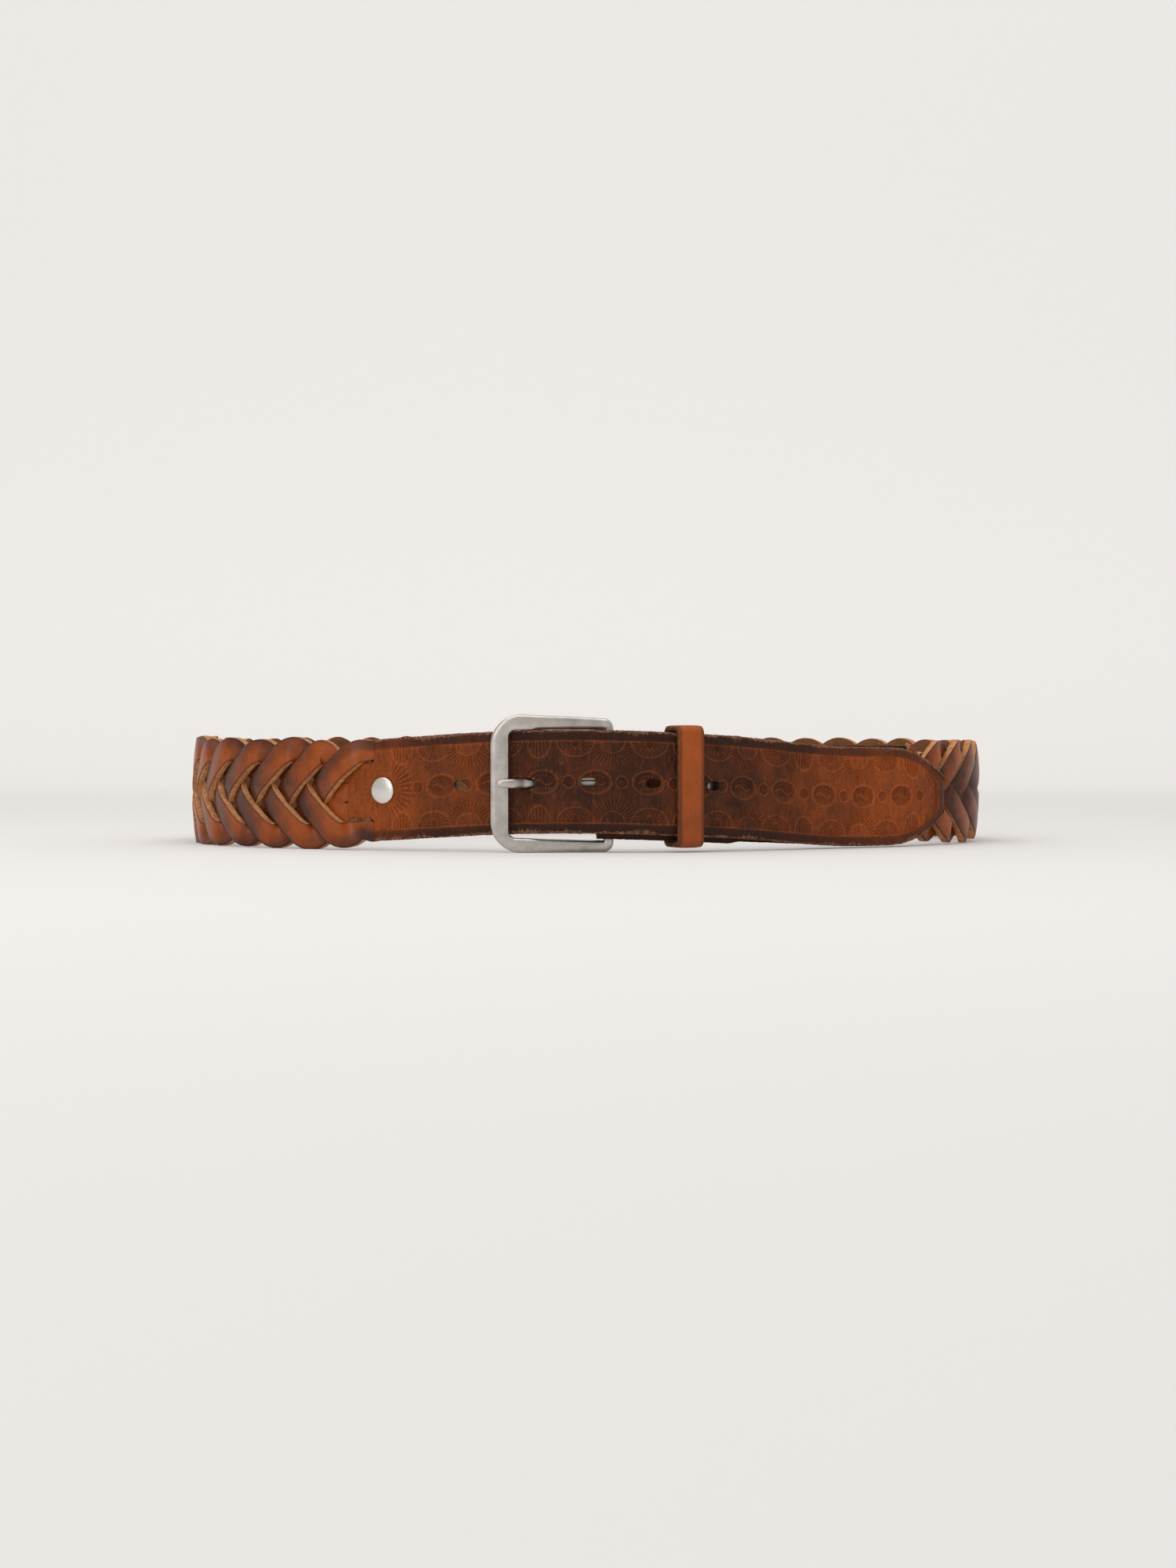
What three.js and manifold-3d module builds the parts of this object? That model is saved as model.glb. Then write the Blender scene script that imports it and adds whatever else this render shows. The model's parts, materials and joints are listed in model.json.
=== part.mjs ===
// A braided leather belt, buckled into a loop and standing on its lower edge.
// Units are millimetres, +Z is up, and the buckle is at the front, facing -Y.
// The plan curve runs anticlockwise seen from above. Every piece is placed by three
// belt coordinates: s along the curve from the front, n outward, z up.
import * as THREE from "three";
import { mergeVertices } from "three/addons/utils/BufferGeometryUtils.js";
import Module from "manifold-3d";

const wasm = await Module();
wasm.setup();

// ---------- overall sizes ----------
const loopWidth = 331; // left to right, over the mid-line of the leather
const loopDepth = 240; // front to back, over the mid-line of the leather
const strapWidth = 40; // both tooled end straps
const braidHeight = 44.5; // edge to edge of the braid
const gap = 0.3; // between pieces that touch

// ---------- tip strap (tooled, with the punched holes) ----------
const tipStrapThickness = 3.6;
const tipEnd = 183; // s of the pointed end
const tipPanelEnd = -90; // s where the strap turns into the braid
const tipTaperLength = 36;
const tipBluntHeight = 15;
const tipSag = 1.5; // of the free end, past the keeper
const tipSagFrom = 68;
const tipSagLength = 66;
const holeSpacing = 25;
const holeFirst = 62; // s of the hole nearest the pointed end
const holeCount = 5;
const holeLength = 5.5;
const holeHeight = 3.7;
const prongHoleIndex = 3; // the hole that the prong goes through

// ---------- buckle strap (folded round the heel bar) ----------
const plyThickness = 2.6;
const buckleStrapEnd = 165; // s where the outer ply turns into the braid
const flapEnd = 73; // s of the free end of the fold-back
const flapMeet = 33; // s where the fold-back reaches the outer ply
const prongSlotPlay = 0.5; // between the slot's far end and the prong's ring

// ---------- buckle ----------
const heelBarAt = 20; // s of the heel bar
const frontBarAt = -22; // s of the front bar
const heelBarRadius = 2;
const heelClearance = 0.5; // round the heel bar, inside the fold
const frontBarWidth = 7.3;
const sideBarHeight = 5.8;
const sideBarHeightHeel = 4.6;
const barThickness = 3.6;
const frameCornerRadius = 12;
const frameWindowRadius = 2;
const frameSideClearance = 1; // between strap edge and side bar
const barGap = 0.35; // between the tip strap and the front bar

// ---------- prong ----------
const prongWidth = 3.7;
const prongThickness = 2.2;
const prongClearance = 0.35;
const prongReach = 3; // how far the tip passes the middle of the front bar
const prongLift = 4; // degrees that the prong can rise in its hole

// ---------- keeper ----------
const keeperRivetGap = 1.9; // from the keeper's edge to the burr of the fold's rivet
const keeperWidth = 11;
const keeperThickness = 2.3;
const keeperEdgePlay = 1.1;
const keeperFacePlay = 0.55;
const stapleWire = 0.8;
const stapleSpan = 6;

// ---------- rivets ----------
const tipRivetAt = -72;
const tipRivetRadius = 5.2;
const tipRivetDome = 1.5;
const foldRivetRadius = 3.7;
const foldRivetHead = 0.9;
const rivetPostRadius = 1.5;
const burrThickness = 1;
const burrRadius = 3.6;

// ---------- braid ----------
const strandCount = 5;
const strandWidth = 6;
const strandThickness = 1.8;
const strandLift = 2.3; // from the middle of the braid to the middle of a strand
const nominalPitch = 17.4; // from one edge bump to the next
const stationsPerPitch = 5;

// ---------- heights ----------
const tailRise = 0.5; // tip strap above the middle of the buckle
const buckleStrapDrop = 0.4; // buckle strap below the middle of the buckle
const riseLengthRight = 140;
const riseLengthLeft = 121;

const frameOpening = strapWidth + 2 * frameSideClearance;
const frameHeight = frameOpening + 2 * sideBarHeight;
const buckleMiddle = frameHeight / 2;
const braidMiddle = braidHeight / 2;

// ---------- the plan curve ----------
// Shares of the loop's half width and of its depth, from the front, anticlockwise.
const planShape = [
  [-0.072, 0],
  [0.06, 0.0],
  [0.18, 0.005],
  [0.28, 0.035],
  [0.395, 0.088],
  [0.6, 0.183],
  [0.795, 0.276],
  [0.925, 0.36],
  [1.015, 0.475],
  [1.02, 0.61],
  [0.935, 0.76],
  [0.75, 0.885],
  [0.46, 0.968],
  [0.12, 1.0],
  [-0.22, 1.0],
  [-0.55, 0.955],
  [-0.8, 0.86],
  [-0.95, 0.72],
  [-1.0, 0.57],
  [-0.985, 0.42],
  [-0.91, 0.3],
  [-0.75, 0.198],
  [-0.53, 0.11],
  [-0.38, 0.053],
  [-0.235, 0.014],
];

function makePlan() {
  const corners = planShape.map(
    ([x, y]) => new THREE.Vector3((x * loopWidth) / 2, y * loopDepth, 0),
  );
  const rough = new THREE.CatmullRomCurve3(corners, true, "centripetal");
  const count = Math.round(rough.getLength());
  const even = rough.getSpacedPoints(count).slice(0, count);
  const spread = 9;
  const reach = 3 * spread;
  const smooth = even.map((_, i) => {
    const sum = new THREE.Vector3();
    let weight = 0;
    for (let k = -reach; k <= reach; k++) {
      const w = Math.exp(-0.5 * (k / spread) ** 2);
      sum.addScaledVector(even[(i + k + count) % count], w);
      weight += w;
    }
    return sum.divideScalar(weight);
  });
  const curve = new THREE.CatmullRomCurve3(smooth, true, "centripetal");
  curve.arcLengthDivisions = 4 * count;
  const length = curve.getLength();
  const steps = Math.round(length);
  const points = curve.getSpacedPoints(steps).slice(0, steps);
  const ds = length / steps;
  const tangents = points.map((_, i) =>
    points[(i + 1) % steps]
      .clone()
      .sub(points[(i - 1 + steps) % steps])
      .normalize(),
  );
  return { length, steps, ds, points, tangents };
}

const plan = makePlan();

function planAt(s) {
  const along = (((s % plan.length) + plan.length) % plan.length) / plan.ds;
  const i = Math.floor(along) % plan.steps;
  const j = (i + 1) % plan.steps;
  const f = along - Math.floor(along);
  const point = plan.points[i].clone().lerp(plan.points[j], f);
  const tangent = plan.tangents[i].clone().lerp(plan.tangents[j], f).normalize();
  const normal = new THREE.Vector3(tangent.y, -tangent.x, 0);
  return { point, tangent, normal };
}

// Belt coordinates to space.
function at(s, n, z) {
  const { point, normal } = planAt(s);
  return new THREE.Vector3(point.x + normal.x * n, point.y + normal.y * n, z);
}

// Cosine steps through [place, value] keys.
function keyed(keys, s) {
  if (s <= keys[0][0]) return keys[0][1];
  for (let i = 1; i < keys.length; i++) {
    if (s <= keys[i][0]) {
      const f = (s - keys[i - 1][0]) / (keys[i][0] - keys[i - 1][0]);
      const g = 0.5 - 0.5 * Math.cos(Math.PI * f);
      return keys[i - 1][1] + (keys[i][1] - keys[i - 1][1]) * g;
    }
  }
  return keys[keys.length - 1][1];
}

// Height of the middle of the leather: it is lifted where the buckle holds it.
const riseCentre = (heelBarAt + frontBarAt) / 2 + 5;
function middleAt(s) {
  const away = s - riseCentre;
  const reach = away > 0 ? riseLengthRight : riseLengthLeft;
  const f = Math.min(1, Math.abs(away) / reach);
  const lift = buckleMiddle + tailRise - braidMiddle;
  return braidMiddle + lift * (0.5 + 0.5 * Math.cos(Math.PI * f));
}

// ---------- the layers, as offsets n along the belt ----------
const prongTop = tipStrapThickness / 2 + gap;
const plyOffset = -(prongTop + plyThickness / 2);
const foldRadius = heelBarRadius + heelClearance + plyThickness / 2;
const heelOffset = plyOffset - foldRadius;
const flapOffset = plyOffset - plyThickness - gap;
const prongRingRadius = heelBarRadius + heelClearance + prongThickness / 2;
const tailDip = -2.5;
const tailBump = 1.2;
const braidInset = -(tipStrapThickness / 2 + gap + strandLift + strandThickness / 2);

function tailOffset(s) {
  return keyed(
    [
      [frontBarAt - 24, 0],
      [frontBarAt - frontBarWidth / 2 - 0.5, tailDip],
      [frontBarAt + frontBarWidth / 2 + 3, tailDip],
      [heelBarAt - 25, tailBump],
      [heelBarAt - 12, tailBump],
      [heelBarAt + 6, 0],
    ],
    s,
  );
}

function outerPlyOffset(s) {
  return keyed(
    [
      [flapEnd + 10, plyOffset],
      [buckleStrapEnd - 10, braidInset + 0.5],
    ],
    s,
  );
}

// ---------- solids ----------
function signedVolume(geometry) {
  const p = geometry.getAttribute("position");
  const index = geometry.index;
  const corner = [new THREE.Vector3(), new THREE.Vector3(), new THREE.Vector3()];
  let volume = 0;
  for (let i = 0; i < index.count; i += 3) {
    for (let k = 0; k < 3; k++) corner[k].fromBufferAttribute(p, index.getX(i + k));
    volume += corner[0].dot(corner[1].cross(corner[2])) / 6;
  }
  return volume;
}

// Keeps positions only, merges shared corners and turns the faces outward.
function closed(geometry) {
  const bare = new THREE.BufferGeometry();
  bare.setAttribute("position", geometry.getAttribute("position"));
  bare.setIndex(geometry.index);
  const merged = mergeVertices(bare, 1e-3);
  if (signedVolume(merged) < 0) {
    const index = merged.index;
    for (let i = 0; i < index.count; i += 3) {
      const second = index.getX(i + 1);
      index.setX(i + 1, index.getX(i + 2));
      index.setX(i + 2, second);
    }
  }
  return merged;
}

function solidOf(geometry) {
  const g = closed(geometry);
  return new wasm.Manifold(
    new wasm.Mesh({
      numProp: 3,
      vertProperties: new Float32Array(g.getAttribute("position").array),
      triVerts: new Uint32Array(g.index.array),
    }),
  );
}

function geometryOf(solid) {
  const mesh = solid.getMesh();
  const g = new THREE.BufferGeometry();
  g.setAttribute("position", new THREE.BufferAttribute(mesh.vertProperties, 3));
  g.setIndex(new THREE.BufferAttribute(mesh.triVerts, 1));
  return g;
}

function moved(geometry, place) {
  const p = geometry.getAttribute("position");
  const v = new THREE.Vector3();
  for (let i = 0; i < p.count; i++) {
    v.fromBufferAttribute(p, i);
    const to = place(v.x, v.y, v.z);
    p.setXYZ(i, to.x, to.y, to.z);
  }
  return geometry;
}

// A strip: place(t, a, b) with t from 0 to 1 along it, and a and b from -1 to 1 across it.
function strip(segments, place) {
  const box = new THREE.BoxGeometry(1, 2, 2, segments, 1, 1);
  return closed(moved(box, (x, y, z) => place(x + 0.5, y, z)));
}

// A ring: place(u, v) with u from 0 to 1 round the ring and v from 0 to 1 round its section.
function ring(around, sides, place) {
  const torus = new THREE.TorusGeometry(10, 1, sides, around);
  const uv = torus.getAttribute("uv");
  const p = torus.getAttribute("position");
  for (let i = 0; i < p.count; i++) {
    const to = place(uv.getX(i) % 1, uv.getY(i) % 1);
    p.setXYZ(i, to.x, to.y, to.z);
  }
  return closed(torus);
}

// A lathed piece: profile is [radius, height] from the inner face outward, set on the belt.
function lathed(profile, sides, s, n, z) {
  const points = profile.map(([r, h]) => new THREE.Vector2(r, h));
  const lathe = new THREE.LatheGeometry(points, sides);
  const { tangent, normal } = planAt(s);
  const up = new THREE.Vector3(0, 0, 1);
  const basis = new THREE.Matrix4().makeBasis(tangent, normal, up.negate());
  basis.setPosition(at(s, n, z));
  return closed(lathe.applyMatrix4(basis));
}

// An upright oval plug through the leather, to cut a punched hole.
function holeCutter(s, n, z, length, height) {
  const depth = 14;
  const oval = new THREE.Shape();
  oval.absellipse(0, 0, length / 2, height / 2, 0, 2 * Math.PI);
  const plug = new THREE.ExtrudeGeometry(oval, {
    depth,
    bevelEnabled: false,
    curveSegments: 8,
  });
  plug.translate(0, 0, -depth / 2);
  const { tangent, normal } = planAt(s);
  const up = new THREE.Vector3(0, 0, 1);
  const basis = new THREE.Matrix4().makeBasis(tangent, up, normal.clone().negate());
  basis.setPosition(at(s, n, z));
  return solidOf(plug.applyMatrix4(basis));
}

function postCutter(s, n, z, radius) {
  return solidOf(
    lathed(
      [
        [0, -9],
        [radius, -9],
        [radius, 9],
        [0, 9],
      ],
      16,
      s,
      n,
      z,
    ),
  );
}

// ---------- the heel bar's own frame: the buckle and the prong turn about it ----------
const heelFrame = planAt(heelBarAt);
const heelPoint = at(heelBarAt, heelOffset, 0);

// Distances from the heel bar: u toward the front bar, v outward.
function fromHeel(u, v, z) {
  return new THREE.Vector3(
    heelPoint.x - heelFrame.tangent.x * u + heelFrame.normal.x * v,
    heelPoint.y - heelFrame.tangent.y * u + heelFrame.normal.y * v,
    z,
  );
}

function toHeel(point) {
  const d = point.clone().sub(heelPoint);
  return [
    -(d.x * heelFrame.tangent.x + d.y * heelFrame.tangent.y),
    d.x * heelFrame.normal.x + d.y * heelFrame.normal.y,
  ];
}

// ---------- prong ----------
// The leather turns a little between the two bars, so the front bar stands off by its tilt.
const barTilt = planAt(frontBarAt).tangent.angleTo(heelFrame.tangent);
const barStandOff = barGap + (frontBarWidth / 2) * Math.tan(barTilt);
const frontBarOffset = tailDip + tipStrapThickness / 2 + barStandOff + barThickness / 2;
const prongRest = frontBarOffset + barThickness / 2 + gap + prongThickness / 2;
const [frontU, frontV] = toHeel(at(frontBarAt, frontBarOffset, 0));
const [, prongRestV] = toHeel(at(frontBarAt, prongRest, 0));

function prongLine() {
  const points = [];
  const hookStart = (235 * Math.PI) / 180;
  const hookSteps = 14;
  for (let k = 0; k < hookSteps; k++) {
    const a = hookStart * (1 - k / hookSteps);
    points.push([-prongRingRadius * Math.sin(a), prongRingRadius * Math.cos(a)]);
  }
  const bend = frontU - frontBarWidth / 2;
  const rise = [
    [0, prongRingRadius],
    [9, prongRingRadius],
    [bend - 14.5, prongRingRadius + 0.15],
    [bend - 7, prongRingRadius + (prongRestV - prongRingRadius) * 0.45],
    [bend - 1, prongRestV - 0.25],
    [bend + 3, prongRestV + 0.05],
    [frontU + prongReach, prongRestV + 0.1],
  ];
  const curve = new THREE.CatmullRomCurve3(
    rise.map(([u, v]) => new THREE.Vector3(u, v, 0)),
    false,
    "centripetal",
  );
  for (const p of curve.getSpacedPoints(26)) points.push([p.x, p.y]);
  return points;
}

// The prong, or the room that it needs, turned outward about the heel bar.
function prongSolid(clearance, degrees) {
  const line = prongLine();
  const last = line.length - 1;
  const turn = THREE.MathUtils.degToRad(degrees);
  return strip(last, (t, a, b) => {
    const i = Math.round(t * last);
    const before = line[Math.max(0, i - 1)];
    const after = line[Math.min(last, i + 1)];
    const du = after[0] - before[0];
    const dv = after[1] - before[1];
    const size = Math.hypot(du, dv);
    const beyond = i === last ? clearance : 0;
    const half = prongThickness / 2 + clearance;
    const u = line[i][0] + (du / size) * beyond - (dv / size) * half * a;
    const v = line[i][1] + (dv / size) * beyond + (du / size) * half * a;
    const uu = u * Math.cos(turn) - v * Math.sin(turn);
    const vv = u * Math.sin(turn) + v * Math.cos(turn);
    const wide = prongWidth / 2 + clearance;
    return fromHeel(uu, vv, buckleMiddle + wide * b);
  });
}

// ---------- tip strap ----------
// Past the keeper the strap is free, and its end sags.
function tipMiddle(s) {
  const f = Math.min(1, Math.max(0, (s - tipSagFrom) / tipSagLength));
  return middleAt(s) - tipSag * (0.5 - 0.5 * Math.cos(Math.PI * f));
}

function tipHalfHeight(s) {
  const taperStart = tipEnd - tipTaperLength;
  if (s <= taperStart) return strapWidth / 2;
  const f = (s - taperStart) / tipTaperLength;
  const round = Math.cos((Math.PI / 2) * f ** 1.35);
  return tipBluntHeight / 2 + (strapWidth / 2 - tipBluntHeight / 2) * round;
}

const holePlaces = [];
for (let k = 0; k < holeCount; k++) holePlaces.push(holeFirst - k * holeSpacing);

function tipStrap() {
  const segments = Math.round((tipEnd - tipPanelEnd) / 4);
  const blank = strip(segments, (t, a, b) => {
    const s = tipPanelEnd + (tipEnd - tipPanelEnd) * t;
    const n = tailOffset(s) + (tipStrapThickness / 2) * a;
    return at(s, n, tipMiddle(s) + tipHalfHeight(s) * b);
  });
  let solid = solidOf(blank);
  holePlaces.forEach((s, k) => {
    if (k === prongHoleIndex) return;
    const cut = holeCutter(s, tailOffset(s), tipMiddle(s), holeLength, holeHeight);
    solid = solid.subtract(cut);
  });
  for (let turn = 0; turn <= prongLift + 1e-9; turn += prongLift / 4) {
    solid = solid.subtract(solidOf(prongSolid(prongClearance, turn)));
  }
  const post = postCutter(tipRivetAt, 0, middleAt(tipRivetAt), rivetPostRadius + gap);
  solid = solid.subtract(post);
  return geometryOf(solid);
}

// ---------- buckle strap ----------
function buckleStrapMiddle(s) {
  return middleAt(s) - tailRise - buckleStrapDrop;
}

// The folded strip's middle line, as [s, n] pairs.
function foldLine() {
  const line = [];
  const step = 6;
  const outerSteps = Math.round((buckleStrapEnd - heelBarAt) / step);
  for (let k = 0; k < outerSteps; k++) {
    const s = buckleStrapEnd + ((heelBarAt - buckleStrapEnd) * k) / outerSteps;
    line.push([s, outerPlyOffset(s)]);
  }
  const turnSteps = 10;
  for (let k = 0; k < turnSteps; k++) {
    const a = (Math.PI * k) / turnSteps;
    line.push([
      heelBarAt - foldRadius * Math.sin(a),
      heelOffset + foldRadius * Math.cos(a),
    ]);
  }
  const meetSteps = 6;
  for (let k = 0; k < meetSteps; k++) {
    const f = k / meetSteps;
    const g = 0.5 - 0.5 * Math.cos(Math.PI * f);
    const start = heelOffset - foldRadius;
    line.push([
      heelBarAt + (flapMeet - heelBarAt) * f,
      start + (flapOffset - start) * g,
    ]);
  }
  const flapSteps = Math.max(2, Math.round((flapEnd - flapMeet) / step));
  for (let k = 0; k <= flapSteps; k++) {
    line.push([flapMeet + ((flapEnd - flapMeet) * k) / flapSteps, flapOffset]);
  }
  return line;
}

function buckleStrap() {
  const line = foldLine();
  const last = line.length - 1;
  const blank = strip(last, (t, a, b) => {
    const i = Math.round(t * last);
    const before = line[Math.max(0, i - 1)];
    const after = line[Math.min(last, i + 1)];
    const ds = after[0] - before[0];
    const dn = after[1] - before[1];
    const size = Math.hypot(ds, dn);
    const s = line[i][0] + (dn / size) * (plyThickness / 2) * a;
    const n = line[i][1] - (ds / size) * (plyThickness / 2) * a;
    return at(s, n, buckleStrapMiddle(s) + (strapWidth / 2) * b);
  });
  let solid = solidOf(blank);
  const slotWidth = prongWidth + 2 * prongClearance + 0.6;
  const slotStart = heelBarAt - foldRadius - plyThickness;
  const slotEnd = heelBarAt + prongRingRadius + prongThickness / 2 + prongSlotPlay;
  const slot = strip(6, (t, a, b) => {
    const s = slotStart + (slotEnd - slotStart) * t;
    return at(s, heelOffset + (foldRadius + plyThickness) * a, buckleMiddle + (slotWidth / 2) * b);
  });
  solid = solid.subtract(solidOf(slot));
  const z = buckleStrapMiddle(foldRivetAt);
  solid = solid.subtract(postCutter(foldRivetAt, plyOffset, z, rivetPostRadius + gap));
  const recess = lathed(
    [
      [0, -foldRivetHead],
      [foldRivetRadius + gap, -foldRivetHead],
      [foldRivetRadius + gap, 2],
      [0, 2],
    ],
    24,
    foldRivetAt,
    plyOffset + plyThickness / 2 - gap,
    z,
  );
  solid = solid.subtract(solidOf(recess));
  return geometryOf(solid);
}

// ---------- buckle frame ----------
// A flat-sided section whose outer facet is straight across: v 0 to 1, width along the
// outline's normal, thickness through the frame.
const frameSides = 12;
function sectionPoint(v, squareness) {
  const a = 2 * Math.PI * (v + 0.5 / frameSides);
  const power = 2 / squareness;
  const c = Math.cos(a);
  const d = Math.sin(a);
  const wide = Math.cos(Math.PI / frameSides) ** power;
  return [
    (Math.sign(c) * Math.abs(c) ** power) / wide,
    (Math.sign(d) * Math.abs(d) ** power) / wide,
  ];
}

function buckleFrame() {
  const halfHeight = frameHeight / 2;
  const outerFront = frontU + frontBarWidth / 2;
  const innerFront = frontU - frontBarWidth / 2;
  const outerHeel = -heelBarRadius;
  const innerHeel = heelBarRadius;
  const heelCorner = 2.2;
  // Matching corners of the outside and of the window, front bar's middle first.
  const outline = [];
  const push = (ou, oz, iu, iz, steps) => outline.push([ou, oz, iu, iz, steps]);
  const corner = (cu, cz, r, a) => [cu + r * Math.cos(a), cz + r * Math.sin(a)];
  const quarter = Math.PI / 2;
  const front = [outerFront - frameCornerRadius, halfHeight - frameCornerRadius];
  const window = [innerFront - frameWindowRadius, frameOpening / 2 - frameWindowRadius];
  for (const z of [0, 0.35, 0.7]) push(outerFront, z * front[1], innerFront, z * window[1]);
  for (let k = 0; k <= 6; k++) {
    const a = (quarter * k) / 6;
    push(
      ...corner(front[0], front[1], frameCornerRadius, a),
      ...corner(window[0], window[1], frameWindowRadius, a),
    );
  }
  for (const f of [0.25, 0.5, 0.75]) {
    const drop = (sideBarHeight - sideBarHeightHeel) * f;
    push(
      front[0] + (outerHeel + heelCorner - front[0]) * f,
      halfHeight,
      window[0] + (innerHeel - window[0]) * f,
      frameOpening / 2 + drop,
    );
  }
  const windowHeel = frameOpening / 2 + sideBarHeight - sideBarHeightHeel;
  for (let k = 0; k <= 3; k++) {
    const a = quarter + (quarter * k) / 3;
    push(
      ...corner(outerHeel + heelCorner, halfHeight - heelCorner, heelCorner, a),
      innerHeel,
      windowHeel - 0.05 * k,
    );
  }
  for (const f of [0.5]) push(outerHeel, windowHeel * f, innerHeel, windowHeel * f);
  const upper = outline.slice();
  for (let k = upper.length - 1; k > 0; k--) {
    const [ou, oz, iu, iz] = upper[k];
    outline.push([ou, -oz, iu, -iz]);
  }
  const total = outline.length;
  const bend = (u) => {
    const straight = heelBarRadius + 1;
    const f = Math.min(1, Math.max(0, (u - straight) / (frontU - straight)));
    return frontV * Math.sin((Math.PI / 2) * f) ** 1.1;
  };
  return ring(total, frameSides, (around, v) => {
    const i = Math.round(around * total) % total;
    const [ou, oz, iu, iz] = outline[i];
    const mu = (ou + iu) / 2;
    const mz = (oz + iz) / 2;
    const onHeel = Math.abs(iz) < windowHeel - 0.2 && mu < heelBarRadius;
    const round = Math.max(0, Math.min(1, 1 - (mu - 2) / 10));
    const [a, b] = sectionPoint(v, onHeel ? 2 : 4);
    const thick = barThickness + (2 * heelBarRadius - barThickness) * round;
    const u = mu + ((ou - iu) / 2) * a;
    const z = mz + ((oz - iz) / 2) * a;
    return fromHeel(u, bend(u) + (thick / 2) * b, buckleMiddle + z);
  });
}

// ---------- keeper ----------
const keeperAt = holeFirst - burrRadius - keeperRivetGap - keeperWidth / 2;
const keeperFrame = planAt(keeperAt);
const keeperOrigin = at(keeperAt, 0, 0);
function fromKeeper(along, n, z) {
  return new THREE.Vector3(
    keeperOrigin.x + keeperFrame.tangent.x * along + keeperFrame.normal.x * n,
    keeperOrigin.y + keeperFrame.tangent.y * along + keeperFrame.normal.y * n,
    z,
  );
}

const keeperOuter = tipStrapThickness / 2 + keeperFacePlay;
const keeperInner = flapOffset - plyThickness / 2 - keeperFacePlay;
const keeperTop = middleAt(keeperAt) + strapWidth / 2 + keeperEdgePlay;
const keeperBottom = buckleStrapMiddle(keeperAt) - strapWidth / 2 - keeperEdgePlay;

function keeperLoop() {
  const middle = [(keeperOuter + keeperInner) / 2, (keeperTop + keeperBottom) / 2];
  const half = [(keeperOuter - keeperInner) / 2, (keeperTop - keeperBottom) / 2];
  const path = [];
  const soft = 1.4;
  const cornerSteps = 4;
  for (let q = 0; q < 4; q++) {
    const sn = q === 0 || q === 3 ? 1 : -1;
    const sz = q < 2 ? 1 : -1;
    for (let k = 0; k <= cornerSteps; k++) {
      const a = (Math.PI / 2) * (q + k / cornerSteps);
      path.push([
        middle[0] + sn * (half[0] - soft),
        middle[1] + sz * (half[1] - soft),
        Math.cos(a),
        Math.sin(a),
      ]);
    }
    const next = [
      [0, 1],
      [-1, 0],
      [0, -1],
      [1, 0],
    ][q];
    const reach = next[0] === 0 ? half[0] - soft : half[1] - soft;
    const base = path[path.length - 1];
    const stops = next[0] === 0 ? [0.5] : [0.2, 0.4, 0.6, 0.8];
    for (const f of stops) {
      path.push([
        base[0] - next[1] * 2 * reach * f,
        base[1] + next[0] * 2 * reach * f,
        next[0],
        next[1],
      ]);
    }
  }
  const total = path.length;
  const loop = ring(total, 8, (around, v) => {
    const i = Math.round(around * total) % total;
    const [n, z, dn, dz] = path[i];
    const c = [
      [1, 0.86],
      [0.9, 1],
      [-0.9, 1],
      [-1, 0.86],
      [-1, -0.86],
      [-0.9, -1],
      [0.9, -1],
      [1, -0.86],
    ][Math.round(v * 8) % 8];
    const out = soft + keeperThickness * (0.5 + 0.5 * c[0]);
    return fromKeeper((keeperWidth / 2) * c[1], n + dn * out, z + dz * out);
  });
  let solid = solidOf(loop);
  for (const side of [-1, 1]) {
    const leg = strip(1, (t, a, b) =>
      fromKeeper(
        (stapleWire / 2 + 0.2) * a,
        keeperInner + 1 - (keeperThickness + 2) * t,
        stapleMiddle + (side * (stapleSpan - stapleWire)) / 2 + (stapleWire / 2 + 0.2) * b,
      ),
    );
    solid = solid.subtract(solidOf(leg));
  }
  return geometryOf(solid);
}

const stapleMiddle = (keeperTop + keeperBottom) / 2;

// The wire staple that closes the keeper: its crown lies on the wearer's side.
function keeperStaple() {
  const crown = keeperInner - keeperThickness - gap - stapleWire / 2;
  const half = (stapleSpan - stapleWire) / 2;
  const line = [
    [keeperInner - 0.3, -half],
    [crown + 0.5, -half],
    [crown, -half + 0.5],
    [crown, half - 0.5],
    [crown + 0.5, half],
    [keeperInner - 0.3, half],
  ];
  const last = line.length - 1;
  return strip(last, (t, a, b) => {
    const i = Math.round(t * last);
    const before = line[Math.max(0, i - 1)];
    const after = line[Math.min(last, i + 1)];
    const dn = after[0] - before[0];
    const dz = after[1] - before[1];
    const size = Math.hypot(dn, dz);
    return fromKeeper(
      (stapleWire / 2) * b,
      line[i][0] + (dz / size) * (stapleWire / 2) * a,
      stapleMiddle + line[i][1] - (dn / size) * (stapleWire / 2) * a,
    );
  });
}

// ---------- rivets ----------
const foldRivetAt = holeFirst;

function tipRivetCap() {
  const face = tipStrapThickness / 2 + gap;
  const postEnd = -(tipStrapThickness / 2 + gap + burrThickness);
  const profile = [
    [0, postEnd],
    [rivetPostRadius, postEnd],
    [rivetPostRadius, face],
    [tipRivetRadius, face],
    [tipRivetRadius, face + 0.5],
  ];
  for (const f of [0.75, 0.5, 0.25, 0]) {
    profile.push([tipRivetRadius * f, face + 0.5 + (tipRivetDome - 0.5) * (1 - f * f)]);
  }
  return lathed(profile, 28, tipRivetAt, 0, middleAt(tipRivetAt));
}

function burr(outer, face, s, z) {
  const profile = [
    [rivetPostRadius + gap, face - burrThickness],
    [outer, face - burrThickness],
    [outer, face],
    [rivetPostRadius + gap, face],
    [rivetPostRadius + gap, face - burrThickness],
  ];
  return lathed(profile, 24, s, 0, z);
}

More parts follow.
